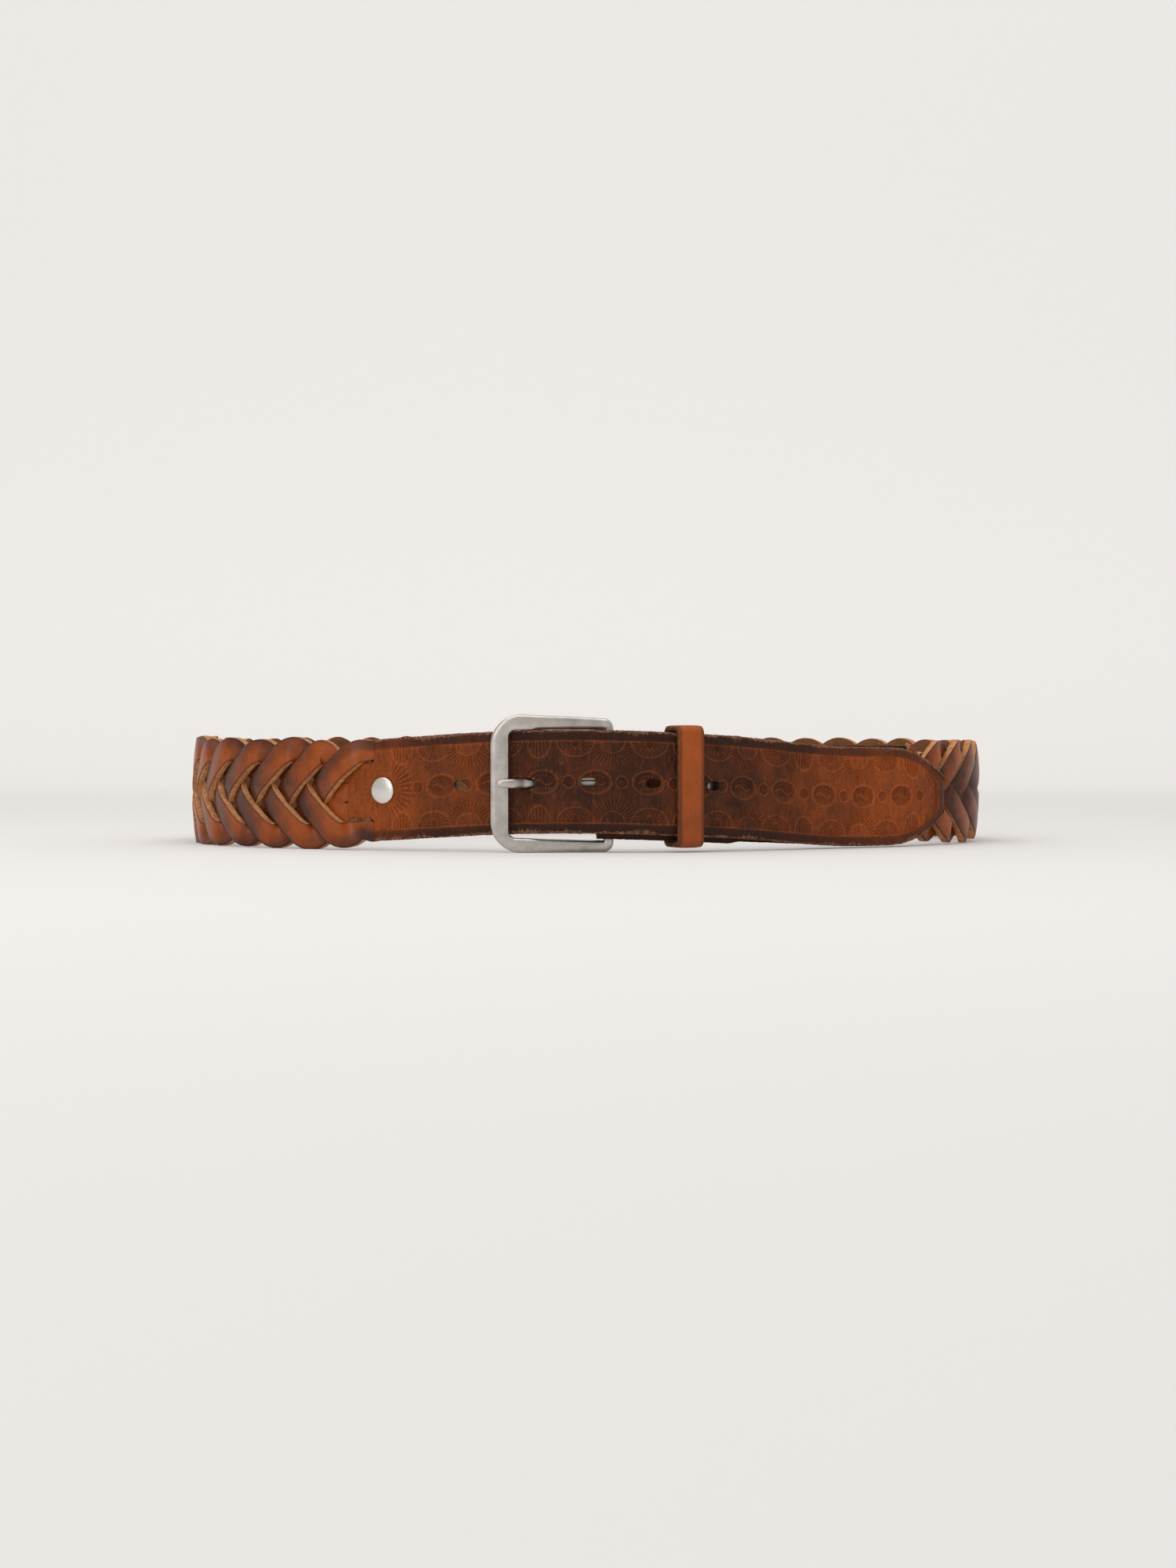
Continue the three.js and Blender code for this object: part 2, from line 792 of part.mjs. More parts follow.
function foldRivetCap() {
  const top = plyOffset + plyThickness / 2 - gap;
  const postEnd = flapOffset - plyThickness / 2 - gap - burrThickness;
  const profile = [
    [0, postEnd],
    [rivetPostRadius, postEnd],
    [rivetPostRadius, top - foldRivetHead + gap],
    [foldRivetRadius, top - foldRivetHead + gap],
    [foldRivetRadius, top],
    [0, top],
  ];
  return lathed(profile, 24, foldRivetAt, 0, buckleStrapMiddle(foldRivetAt));
}

// ---------- braid ----------
const braidStart = buckleStrapEnd + gap;
const braidEnd = plan.length + tipPanelEnd - gap;
const braidLength = braidEnd - braidStart;
const pitchCount = Math.round(braidLength / nominalPitch);
const braidPitch = braidLength / pitchCount;
const swing = (braidHeight - strandWidth) / 2;
const endSwing = 0.4 * strapWidth / Math.cos(Math.PI / 10);

function strand(index) {
  const stations = pitchCount * stationsPerPitch;
  const startPhase = Math.PI / 10 + (2 * Math.PI * index) / strandCount;
  const pathAt = (f) => {
    const d = braidLength * f;
    const phase = startPhase + (2 * Math.PI * d) / (strandCount * braidPitch);
    const s = braidEnd - d;
    const fromEnd = Math.min(d, braidLength - d);
    const reach = keyed([[0, endSwing], [30, swing]], fromEnd);
    const wave = Math.sin(2 * phase);
    const lift = strandLift * Math.sign(wave) * Math.abs(wave) ** 0.3;
    const inset = keyed([[25, braidInset], [braidLength - 80, 0]], s - braidStart);
    return [s, inset + lift, middleAt(s - (s > plan.length / 2 ? plan.length : 0)) + reach * Math.cos(phase)];
  };
  return strip(stations, (t, a, b) => {
    const i = Math.round(t * stations);
    const [s, n, z] = pathAt(i / stations);
    const before = pathAt(Math.max(0, i - 0.05) / stations);
    const after = pathAt(Math.min(stations, i + 0.05) / stations);
    const ds = after[0] - before[0];
    const dz = after[2] - before[2];
    const size = Math.hypot(ds, dz);
    const atEnd = i === 0 || i === stations;
    const across = (strandWidth / 2) * b;
    return at(
      atEnd ? s : s - (dz / size) * across,
      n + (strandThickness / 2) * a,
      z + (atEnd ? across : (ds / size) * across),
    );
  });
}

// ---------- the belt ----------
const belt = new THREE.Group();
function add(name, geometry, color, roughness, metalness) {
  const material = new THREE.MeshStandardMaterial({ color, roughness, metalness });
  const mesh = new THREE.Mesh(geometry, material);
  mesh.name = name;
  belt.add(mesh);
}

add("tip_strap", tipStrap(), 0x6e3a1c, 0.5, 0);
add("buckle_strap", buckleStrap(), 0x6e3a1c, 0.5, 0);
for (let k = 0; k < strandCount; k++) {
  add("braid_strand_" + (k + 1), strand(k), 0x83401d, 0.4, 0);
}
add("buckle_frame", buckleFrame(), 0xb9b4ac, 0.35, 1);
add("buckle_prong", prongSolid(0, 0), 0xb9b4ac, 0.35, 1);
add("keeper_loop", keeperLoop(), 0xa65a26, 0.45, 0);
add("keeper_staple", keeperStaple(), 0xb9b4ac, 0.35, 1);
add("tip_rivet_cap", tipRivetCap(), 0xc9c5bd, 0.3, 1);
const tipBurrFace = -(tipStrapThickness / 2 + gap);
add(
  "tip_rivet_burr",
  burr(burrRadius, tipBurrFace, tipRivetAt, middleAt(tipRivetAt)),
  0xc9c5bd,
  0.35,
  1,
);
add("fold_rivet_cap", foldRivetCap(), 0xc9c5bd, 0.3, 1);
const foldBurrFace = flapOffset - plyThickness / 2 - gap;
add(
  "fold_rivet_burr",
  burr(burrRadius, foldBurrFace, foldRivetAt, buckleStrapMiddle(foldRivetAt)),
  0xc9c5bd,
  0.35,
  1,
);

// The origin is the middle of the belt's box, at its lowest level.
const box = new THREE.Box3().setFromObject(belt, true);
belt.position.set(-(box.min.x + box.max.x) / 2, -(box.min.y + box.max.y) / 2, -box.min.z);

export default belt;
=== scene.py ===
# %% [markdown]
# # A braided leather belt, buckled and standing on edge
#
# The belt is a loop. A tooled strap with punched holes comes round from the left, goes behind
# the buckle's front bar, over the other tooled strap, through the keeper, and ends in a point.
# Between the two straps the hide is slit into five strands and braided.
#
# The engineering model is loaded first. It is the fixed frame: every piece below is built in
# the same place, in metres, and rides on one of its bodies.

import bpy
import bmesh
import json
import math
import numpy as np
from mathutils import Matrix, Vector

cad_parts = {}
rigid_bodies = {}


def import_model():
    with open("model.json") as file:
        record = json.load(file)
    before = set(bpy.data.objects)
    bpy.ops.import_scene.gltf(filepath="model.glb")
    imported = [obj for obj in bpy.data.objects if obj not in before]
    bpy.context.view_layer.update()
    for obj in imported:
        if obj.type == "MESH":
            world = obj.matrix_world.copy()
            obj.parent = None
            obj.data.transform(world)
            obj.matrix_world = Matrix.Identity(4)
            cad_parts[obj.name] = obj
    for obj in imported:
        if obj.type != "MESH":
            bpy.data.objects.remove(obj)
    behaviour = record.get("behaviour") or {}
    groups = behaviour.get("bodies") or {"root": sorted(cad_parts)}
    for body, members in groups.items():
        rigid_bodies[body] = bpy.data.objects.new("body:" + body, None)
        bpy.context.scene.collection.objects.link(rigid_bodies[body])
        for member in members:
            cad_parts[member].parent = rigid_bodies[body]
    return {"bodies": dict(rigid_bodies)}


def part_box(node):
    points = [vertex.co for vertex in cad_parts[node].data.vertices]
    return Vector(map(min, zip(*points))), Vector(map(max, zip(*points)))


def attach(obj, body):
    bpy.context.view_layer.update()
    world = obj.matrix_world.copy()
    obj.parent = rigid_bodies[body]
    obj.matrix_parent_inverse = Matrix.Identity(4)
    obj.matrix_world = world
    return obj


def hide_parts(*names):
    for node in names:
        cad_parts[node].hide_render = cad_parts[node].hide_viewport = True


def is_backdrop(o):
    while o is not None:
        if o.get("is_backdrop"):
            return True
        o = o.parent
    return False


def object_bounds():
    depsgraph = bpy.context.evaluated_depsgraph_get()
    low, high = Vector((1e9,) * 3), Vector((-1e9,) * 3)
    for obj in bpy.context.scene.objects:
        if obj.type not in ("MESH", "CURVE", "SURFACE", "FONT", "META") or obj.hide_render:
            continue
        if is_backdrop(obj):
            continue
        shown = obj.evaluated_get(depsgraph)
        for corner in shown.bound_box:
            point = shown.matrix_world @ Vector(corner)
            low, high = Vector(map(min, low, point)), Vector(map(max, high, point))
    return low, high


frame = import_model()
cad_low, cad_high = (tuple(corner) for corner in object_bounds())
print("bodies:", ", ".join(frame["bodies"]))
print("model box, mm:", [round(1000 * (b - a), 1) for a, b in zip(cad_low, cad_high)])

# %% [markdown]
# ## The belt's own coordinates
#
# A belt is easiest to describe along itself: `s` runs along the leather from the middle of the
# front, `n` points outward from the loop and `z` is up. One closed curve, seen from above,
# carries all three. It could be a Bezier curve object, but the straps need the same curve
# sampled thousands of times with exact normals, so it is a numpy array of points at equal steps.

# %% The plan curve
LOOP_WIDTH, LOOP_DEPTH = 331.0, 240.0
PLAN_SHAPE = np.array([
    [-0.072, 0], [0.06, 0], [0.18, 0.005], [0.28, 0.035], [0.395, 0.088],
    [0.6, 0.183], [0.795, 0.276], [0.925, 0.36], [1.015, 0.475], [1.02, 0.61],
    [0.935, 0.76], [0.75, 0.885], [0.46, 0.968], [0.12, 1.0], [-0.22, 1.0],
    [-0.55, 0.955], [-0.8, 0.86], [-0.95, 0.72], [-1.0, 0.57], [-0.985, 0.42],
    [-0.91, 0.3], [-0.75, 0.198], [-0.53, 0.11], [-0.38, 0.053], [-0.235, 0.014],
])


def unit(vectors):
    """Vectors scaled to length 1."""
    return vectors / np.linalg.norm(vectors, axis=-1)[..., None]


def hermite(t, p1, p2, m1, m2):
    """From p1 to p2 as t goes from 0 to 1, leaving along m1 and arriving along m2."""
    return ((2 * t**3 - 3 * t**2 + 1) * p1 + (t**3 - 2 * t**2 + t) * m1
            + (3 * t**2 - 2 * t**3) * p2 + (t**3 - t**2) * m2)


def run_along(points):
    """Distance along a line at each of its points."""
    return np.r_[0, np.cumsum(np.linalg.norm(np.diff(points, axis=0), axis=1))]


def through_points(corners, per_span):
    """A closed centripetal Catmull-Rom curve through the corners."""
    out, count = [], len(corners)
    t = np.linspace(0, 1, per_span, endpoint=False)[:, None]
    for i in range(count):
        p0, p1, p2, p3 = (corners[(i + k - 1) % count] for k in range(4))
        d0, d1, d2 = (np.linalg.norm(b - a) ** 0.5 for a, b in ((p0, p1), (p1, p2), (p2, p3)))
        m1 = ((p1 - p0) / d0 - (p2 - p0) / (d0 + d1) + (p2 - p1) / d1) * d1
        m2 = ((p2 - p1) / d1 - (p3 - p1) / (d1 + d2) + (p3 - p2) / d2) * d1
        out.append(hermite(t, p1, p2, m1, m2))
    return np.vstack(out)


def even_steps(points, count):
    """Points at equal distances round a closed polyline, and its length."""
    ring = np.vstack([points, points[:1]])
    run = run_along(ring)
    at_run = np.arange(count) * run[-1] / count
    return np.stack([np.interp(at_run, run, ring[:, k]) for k in range(2)], 1), run[-1]


rough = through_points(PLAN_SHAPE * [LOOP_WIDTH / 2, LOOP_DEPTH], 80)
rough, _ = even_steps(rough, round(even_steps(rough, 10)[1]))
SMOOTH_OVER = 9
steps = range(-3 * SMOOTH_OVER, 3 * SMOOTH_OVER + 1)
weights = np.exp(-0.5 * (np.array(steps) / SMOOTH_OVER) ** 2)
weights /= weights.sum()
smooth = sum(w * np.roll(rough, -k, axis=0) for k, w in zip(steps, weights))
PLAN, LENGTH = even_steps(through_points(smooth, 8), 4000)
TANGENT = unit(np.roll(PLAN, -1, axis=0) - np.roll(PLAN, 1, axis=0))
print("closed length of the leather, mm:", round(LENGTH, 1))

# %% Belt coordinates to space
shift = np.zeros(2)


def plan_at(s):
    """Point, tangent and outward normal of the plan curve at s."""
    along = (np.asarray(s, float) % LENGTH) / LENGTH * len(PLAN)
    i = np.floor(along).astype(int) % len(PLAN)
    f = (along - np.floor(along))[..., None]
    j = (i + 1) % len(PLAN)
    point = PLAN[i] * (1 - f) + PLAN[j] * f + shift
    tangent = unit(TANGENT[i] * (1 - f) + TANGENT[j] * f)
    return point, tangent, np.stack([tangent[..., 1], -tangent[..., 0]], -1)


def place(s, n, z):
    """Belt coordinates, in mm, to points in the frame, in mm."""
    s, n, z = np.broadcast_arrays(*(np.asarray(v, float) for v in (s, n, z)))
    point, _, normal = plan_at(s)
    flat = point + normal * n[..., None]
    return np.concatenate([flat, z[..., None]], -1)


def local_frame(point, along, outward):
    """A function from straight coordinates (u along, v outward, z up) at one point to space."""
    def to_space(u, v, z):
        u, v, z = np.broadcast_arrays(*(np.asarray(a, float) for a in (u, v, z)))
        flat = point + along * u[..., None] + outward * v[..., None]
        return np.concatenate([flat, z[..., None]], -1)
    return to_space


def keyed(keys, s):
    """Cosine steps through (place, value) keys."""
    places, values = np.array(keys, float).T
    s = np.clip(s, places[0], places[-1])
    i = np.clip(np.searchsorted(places, s, side="right") - 1, 0, len(places) - 2)
    f = (s - places[i]) / (places[i + 1] - places[i])
    return values[i] + (values[i + 1] - values[i]) * (0.5 - 0.5 * np.cos(np.pi * f))


# %% Sizes that the straps, the buckle and the braid share
STRAP = 40.0
TIP_THICK, PLY = 3.6, 2.6
GAP, HEEL_CLEAR = 0.3, 0.5
TIP_END, BUCKLE_STRAP_END = 183.0, 165.0
HEEL_AT, FRONT_AT, HEEL_R = 20.0, -22.0, 2.0
FRONT_W, BAR_THICK, SIDE_H, SIDE_H_HEEL = 7.3, 3.6, 5.8, 4.6
FRAME_OPENING = STRAP + 2
BUCKLE_MID = (FRAME_OPENING + 2 * SIDE_H) / 2
BRAID_H, BRAID_MID = 44.5, 22.25
SAG_FROM, SAG_TO, SAG, TIP_LIFT = 68, 134, 1.75, 0.25
RISE_AT = (HEEL_AT + FRONT_AT) / 2 + 5


def middle_at(s):
    """Height of the middle of the leather, which the buckle lifts."""
    away = (np.asarray(s, float) + LENGTH / 2) % LENGTH - LENGTH / 2 - RISE_AT
    f = np.minimum(1, np.abs(away) / np.where(away > 0, 140.0, 121.0))
    return BRAID_MID + (BUCKLE_MID + 0.5 - BRAID_MID) * (0.5 + 0.5 * np.cos(np.pi * f))


def tip_middle_at(s):
    """Past the keeper the strap is free, and its end sags."""
    return middle_at(s) + keyed([(SAG_FROM, TIP_LIFT), (SAG_TO, TIP_LIFT - SAG)], s)


PLY_N = -(TIP_THICK / 2 + GAP + PLY / 2)
FOLD_R = HEEL_R + HEEL_CLEAR + PLY / 2
HEEL_N = PLY_N - FOLD_R
FLAP_N = PLY_N - PLY - GAP
BRAID_IN = -(TIP_THICK / 2 + GAP + 2.3 + 0.9)


def tip_n(s):
    """The tip strap dips under the front bar and rides up over the prong."""
    return keyed([(FRONT_AT - 24, 0), (FRONT_AT - 4.15, -2.5), (FRONT_AT + 6.65, -2.5),
                  (HEEL_AT - 25, 1.2), (HEEL_AT - 12, 1.2), (HEEL_AT + 6, 0)], s)


low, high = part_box("tip_strap")
edge = place(np.linspace(-90, TIP_END, 1500)[:, None],
             tip_n(np.linspace(-90, TIP_END, 1500))[:, None] + np.array([-1.8, 1.8]), 0)
shift[:] = np.array(low[:2]) * 1000 - edge.reshape(-1, 3)[:, :2].min(0)
print("shift of the loop into the frame, mm:", shift.round(2))

# %% [markdown]
# ## The camera
#
# The belt is seen straight on, from a little above its lower edge. A long lens a good metre
# away keeps the front nearly free of perspective while the back of the loop still rises into
# view above the strap.

# %% Camera
def new_object(name, data):
    obj = bpy.data.objects.new(name, data)
    bpy.context.scene.collection.objects.link(obj)
    return obj


LENS, DISTANCE, EYE_HEIGHT, LOOK_DOWN = 65.3, 1.1, 0.0442, 0.915
camera_data = bpy.data.cameras.new("camera")
camera_data.lens = LENS
camera_data.sensor_width = 36
camera = new_object("camera", camera_data)
camera.location = (shift[0] / 1000, shift[1] / 1000 - DISTANCE, EYE_HEIGHT)
camera.rotation_euler = (math.radians(90 - LOOK_DOWN), 0, 0)
camera_data.clip_start, camera_data.clip_end = 0.01, 20
bpy.context.scene.camera = camera
print("camera at", [round(c, 3) for c in camera.location])

# %% [markdown]
# ## Helpers for making meshes
#
# Nearly every piece of a belt is a section carried along a line: a strap, a strand, a bar of
# the buckle. A curve object with a bevel does that too, but it can't stamp a pattern into the
# leather or mark which faces are cut edges. `loft` joins rows of points into a mesh instead,
# and keeps named numbers for each point, which the materials read later.

# %% Loft
def turn_of(count):
    """Angles at equal steps round a circle."""
    return np.linspace(0, 2 * np.pi, count, endpoint=False)


def squared_circle(a, power):
    """Cosine and sine, flattened toward a rounded square as the power falls below 1."""
    return tuple(np.sign(f(a)) * np.abs(f(a)) ** power for f in (np.cos, np.sin))


def leather_fields(cut, flesh, rim, tone, ridge=0, sunk=0, score=0):
    """The numbers that the leather materials read from a mesh."""
    return dict(cut=cut, flesh=flesh, rim=rim, tone=tone, ridge=ridge, sunk=sunk, score=score)


def loft(name, rows, closed=False, fields=None, weld=False):
    """A mesh from rows of points (in mm), each row a closed section; ends are capped."""
    rows = np.asarray(rows, float)
    count, sides = rows.shape[:2]
    i = np.arange(count if closed else count - 1)[:, None]
    j = np.arange(sides)[None, :]
    i2, j2 = (i + 1) % count, (j + 1) % sides
    quads = np.stack([i * sides + j, i * sides + j2, i2 * sides + j2, i2 * sides + j], -1)
    faces = quads.reshape(-1, 4).tolist()
    if not closed:
        faces += [list(range(sides))[::-1], [(count - 1) * sides + k for k in range(sides)]]
    mesh = bpy.data.meshes.new(name)
    mesh.from_pydata((rows.reshape(-1, 3) / 1000).tolist(), [], faces)
    for field, values in (fields or {}).items():
        data = mesh.attributes.new(field, "FLOAT", "POINT").data
        spread_out = np.broadcast_to(values, (count, sides)).astype(np.float32)
        data.foreach_set("value", np.ascontiguousarray(spread_out).ravel())
    work = bmesh.new()
    work.from_mesh(mesh)
    if weld:
        bmesh.ops.remove_doubles(work, verts=work.verts, dist=1e-6)
    bmesh.ops.recalc_face_normals(work, faces=work.faces)
    work.to_mesh(mesh)
    work.free()
    mesh.shade_smooth()
    return new_object(name, mesh)


def carve(obj, cutters):
    """Cuts closed cutters out of a piece and throws the cutters away."""
    for cutter in cutters:
        cut = obj.modifiers.new("cut", "BOOLEAN")
        cut.operation, cut.object, cut.solver = "DIFFERENCE", cutter, "MANIFOLD"
    graph = bpy.context.evaluated_depsgraph_get()
    result = bpy.data.meshes.new_from_object(obj.evaluated_get(graph))
    obj.modifiers.clear()
    obj.data = result
    for cutter in cutters:
        bpy.data.objects.remove(cutter)


# %% Noise that is the same on every run
def lattice(seed):
    return np.random.default_rng(seed).random((256, 256))


def wander(x, y, step, seed=0):
    """Smooth noise from -1 to 1 over a plane, with bumps about one step apart."""
    grid = lattice(seed)
    u, v = np.broadcast_arrays(np.asarray(x, float) / step, np.asarray(y, float) / step)
    i, j = np.floor(u).astype(int), np.floor(v).astype(int)
    f, g = u - i, v - j
    f, g = f * f * (3 - 2 * f), g * g * (3 - 2 * g)
    corner = lambda a, b: grid[(i + a) % 256, (j + b) % 256]
    top = corner(0, 0) * (1 - f) + corner(1, 0) * f
    bottom = corner(0, 1) * (1 - f) + corner(1, 1) * f
    return 2 * (top * (1 - g) + bottom * g) - 1


# %% [markdown]
# ## The stamped pattern
#
# A leatherworker dampens the strap and strikes small steel stamps into it. Along both edges,
# inside a scored line, run fans, shells and half domes; along the middle, oval medallions take
# turns with small rings. A bump texture would give the shading but leave the surface flat at
# the edges, so each stamp is written as a height over the strap and pressed into the mesh. The
# same numbers are kept as `ridge` and `sunk`, so that the dye can gather in the hollows.

# %% One function per stamp
def line(distance, width):
    return np.exp(-((distance / width) ** 2))


def inside(value, soft=0.12):
    """1 where value is below 1, with a soft rim."""
    return 1 / (1 + np.exp((value - 1) / (soft / 4)))


def medallion(u, v):
    r = np.hypot(u / 6.1, v / 4.6)
    rim = line((r - 1) * 5.2, 0.22) + 0.45 * line((r - 0.87) * 5.2, 0.16)
    wave = -1.0 * np.sin(0.86 * u) - 0.2
    ess = line((v - wave) / np.sqrt(1 + (0.86 * np.cos(0.86 * u)) ** 2), 0.26)
    ess = ess * inside(np.abs(u) / 3.7)
    ridge, sunk = rim + 0.9 * ess, 0.7 * inside(r / 0.86)
    for k in range(-2, 3):
        bead = np.hypot(u - 1.5 * k, v - 2.75 + 0.2 * k * k)
        ridge = ridge + 0.45 * line(bead, 0.5)
        sunk = sunk + 0.5 * line(bead - 0.75, 0.22)
    stroke = 0.5 + 0.5 * np.cos(2 * np.pi * u / 1.25)
    below = inside(r / 0.82) * inside((v + 1.9) / 0.6 + 1)
    return np.maximum(ridge, 0.5 * stroke * below), sunk


def small_ring(u, v):
    r = np.hypot(u, v)
    return line(r - 2.4, 0.22), 0.5 * inside(r / 2.1)


def half_dome(u, v):
    r = np.hypot(u / 7.1, v / 6.0)
    arch = np.hypot(u / 1.6, v / 2.9)
    turn = np.arctan2(v / 6.0, u / 7.1)
    band = inside(r / 0.9) * (1 - inside(arch / 1.1))
    ridge = line((r - 1) * 6.4, 0.22) + 0.45 * line((arch - 1) * 1.9, 0.24)
    sunk = 0.55 * inside(r / 0.93) + 0.2 * inside(arch / 0.9)
    for row, count in ((0.8, 11), (0.58, 8)):
        beads = (0.5 + 0.5 * np.cos(2 * count * turn)) * line((r - row) * 6.4, 0.5)
        ridge = ridge + 0.55 * beads * band
    return ridge, sunk


def shell(u, v):
    r = np.hypot(u / 4.7, v / 6.6)
    ribs = 0.5 + 0.5 * np.cos(2 * np.pi * u / (1.25 + 0.05 * v))
    body = inside(r / 0.86)
    return line((r - 1) * 5.4, 0.22) + 0.5 * body * ribs, 0.6 * body * (1 - ribs) + 0.15 * body


def sunburst(u, v, inner=4.5, outer=9.0, rays=19):
    r = np.hypot(u / 1.06, v)
    turn = np.arctan2(v, u / 1.06)
    comb = (0.5 + 0.5 * np.cos(2 * rays * turn)) ** 2
    body = inside(r / outer, 0.2) * (1 - inside(r / (inner + 0.5)))
    return 0.6 * body * comb + 0.8 * line(r - inner, 0.2), 0.55 * body * (1 - comb)


# %% The pattern over a whole strap
SCORE_IN = 4.2


def tooling(s, z, from_edge, first, last, rivet=None):
    """Ridge and hollow, from 0 to 1, of everything stamped between first and last."""
    ridge, sunk = np.zeros_like(s), np.zeros_like(s)

    def strike(stamp, at, half, v, **sizes):
        rows = np.where(np.abs(s[:, 0] - at) < half)[0]
        if len(rows):
            part = slice(rows[0], rows[-1] + 1)
            up, down = stamp(s[part] - at, v[part], **sizes)
            ridge[part] = np.maximum(ridge[part], up)
            sunk[part] = np.maximum(sunk[part], down)

    v = from_edge - SCORE_IN
    for k in range(-3, 6):
        for stamp, offset in ((sunburst, 21.4), (half_dome, 7.2), (half_dome, 35.6), (shell, -7.0)):
            at = offset + 56.5 * k
            if first < at < last:
                strike(stamp, at, 11, np.where(v > -0.3, v, 50.0))
    for k in range(-6, 12):
        at = -5.5 + 20.3 * k
        if first + 9 < at < last - 3:
            strike(medallion, at, 8, z)
        if first + 5 < at + 10.15 < last + 4:
            strike(small_ring, at + 10.15, 4, z)
    ridge *= v > -0.3
    sunk *= v > -0.3
    score_from = -1e3
    if rivet is not None:
        r, turn = np.hypot(s - rivet, z), np.arctan2(z, s - rivet)
        comb = (0.5 + 0.5 * np.cos(36 * turn)) ** 2
        body = inside(r / 13.0, 0.2) * (1 - inside(r / 7.8)) * inside(np.abs(turn) / 1.2, 0.2)
        ridge = np.maximum(ridge, 0.65 * body * comb)
        sunk = np.maximum(sunk, 0.6 * body * (1 - comb))
        score_from = rivet + 6
    score = line(from_edge - SCORE_IN, 0.3) * inside((score_from - s) / 4 + 1, 0.5)
    return np.clip(ridge, 0, 1), np.clip(sunk, 0, 1), score


print("stamps: sunburst, half dome, shell, medallion, ring")

# %% [markdown]
# ## The strap's section
#
# A strap is cut from thick hide: a grain side, two cut edges and a rough flesh side. The section
# below gives each point its kind, so that one material can dye the grain, leave the cut edges
# raw and make the flesh side soft.

# %% Section of a strap
def mirrored(side_edge):
    """The same cut edge on the other side, run through backward."""
    return [(-across, *rest) for across, *rest in side_edge[::-1]]


def strap_section(across, thickness, front_points, back_points=9, crown=0.0):
    """Offsets across and outward of one section, with the share of cut edge and flesh."""
    half, t = across / 2, thickness / 2
    q = np.linspace(-1, 1, front_points)
    rows = [(half * 0.985 * a, t + crown * (1 - a * a), 0, 0) for a in q]
    side_edge = [(half - 0.12, t - 0.1, 0.5, 0), (half, t - 0.45, 1, 0), (half, t * 0.3, 1, 0),
                 (half, -t * 0.4, 1, 0), (half, -t + 0.3, 1, 0.3)]
    rows += side_edge + [(half * a, -t, 0, 1) for a in np.linspace(0.985, -0.985, back_points)]
    return np.array(rows + mirrored(side_edge)).T


# %% [markdown]
# ## The tip strap
#
# The longest piece in view. Rows of points a third of a millimetre apart follow the plan curve,
# so the stamps can be pressed into it. It narrows to a blunt point at one end and is slit into
# the strands at the other: the outer strands part from it first, so the last stretch is only
# the three middle strands wide.

# %% Tip strap
TAPER, BLUNT, END_ROUND = 36.0, 15.0, 2.2
OUTER_SLIT, INNER_SLIT = -77.5, -90.0
TIP_RIVET = -72.0
RIDGE_UP, HOLLOW_DOWN, SCORE_DOWN = 0.24, 0.52, 0.42


def tip_half(s):
    f = np.clip((s - (TIP_END - TAPER)) / TAPER, 0, 1)
    half = BLUNT / 2 + (STRAP / 2 - BLUNT / 2) * np.cos(np.pi / 2 * f**1.35)
    end = np.clip((s - (TIP_END - END_ROUND)) / END_ROUND, 0, 1)
    half = half - 1.7 * (1 - np.sqrt(1 - end**2 * 0.96))
    return np.where(s < OUTER_SLIT, 12.0, half)


def strap_mesh(name, s, half, middle, n_mid, thickness, front_points, first, last,
               rivet=None, tone=None, tip=None):
    """A tooled strap along s, with its stamps pressed in."""
    across, out, cut, flesh = strap_section(2.0, thickness, front_points)
    s2 = np.repeat(s[:, None], len(across), 1)
    z = half[:, None] * across[None, :]
    slope = np.gradient(half, s)
    slope = np.where(np.abs(slope) > 3, 0, slope)
    from_edge = (half[:, None] - np.abs(z)) / np.sqrt(1 + slope[:, None] ** 2)
    if tip is not None:
        from_edge = np.minimum(from_edge, tip - s2)
    ridge, sunk, score = tooling(s2, z, from_edge, first, last, rivet)
    front = ((cut == 0) & (flesh == 0)).astype(float)[None, :]
    ridge, sunk, score = ridge * front, sunk * front, score * front
    sag = 0.6 * np.clip(1 - from_edge / 3.2, 0, 1) ** 2 * front
    ripple = 0.08 * wander(s2, z, 6, 3) + 0.05 * wander(s2 * 2.4, z * 0.5, 1.3, 4)
    n = n_mid[:, None] + out[None, :] - sag
    n = n + front * (RIDGE_UP * ridge - HOLLOW_DOWN * sunk - SCORE_DOWN * score + ripple)
    fray = cut * (0.1 * wander(s2, out * 40, 1.1, 5) + 0.13 * wander(s2, out * 40, 0.4, 6))
    z = z + np.sign(across) * fray * np.minimum(1, half[:, None] / 8)
    n = n + flesh * 0.12 * wander(s2, z, 1.1, 7)
    rim = np.where(s2 < OUTER_SLIT, 0.8 * np.clip((0.8 - from_edge) / 0.6, 0, 1),
                   np.clip((5.0 - from_edge) / 2.4, 0, 1))
    tone_2 = np.repeat((keyed(tone, s) if tone else 0.5 * np.ones_like(s))[:, None], len(across), 1)
    fields = leather_fields(cut, flesh, rim, tone_2, ridge, sunk, score)
    return loft(name, place(s2, n, middle[:, None] + z), fields=fields)


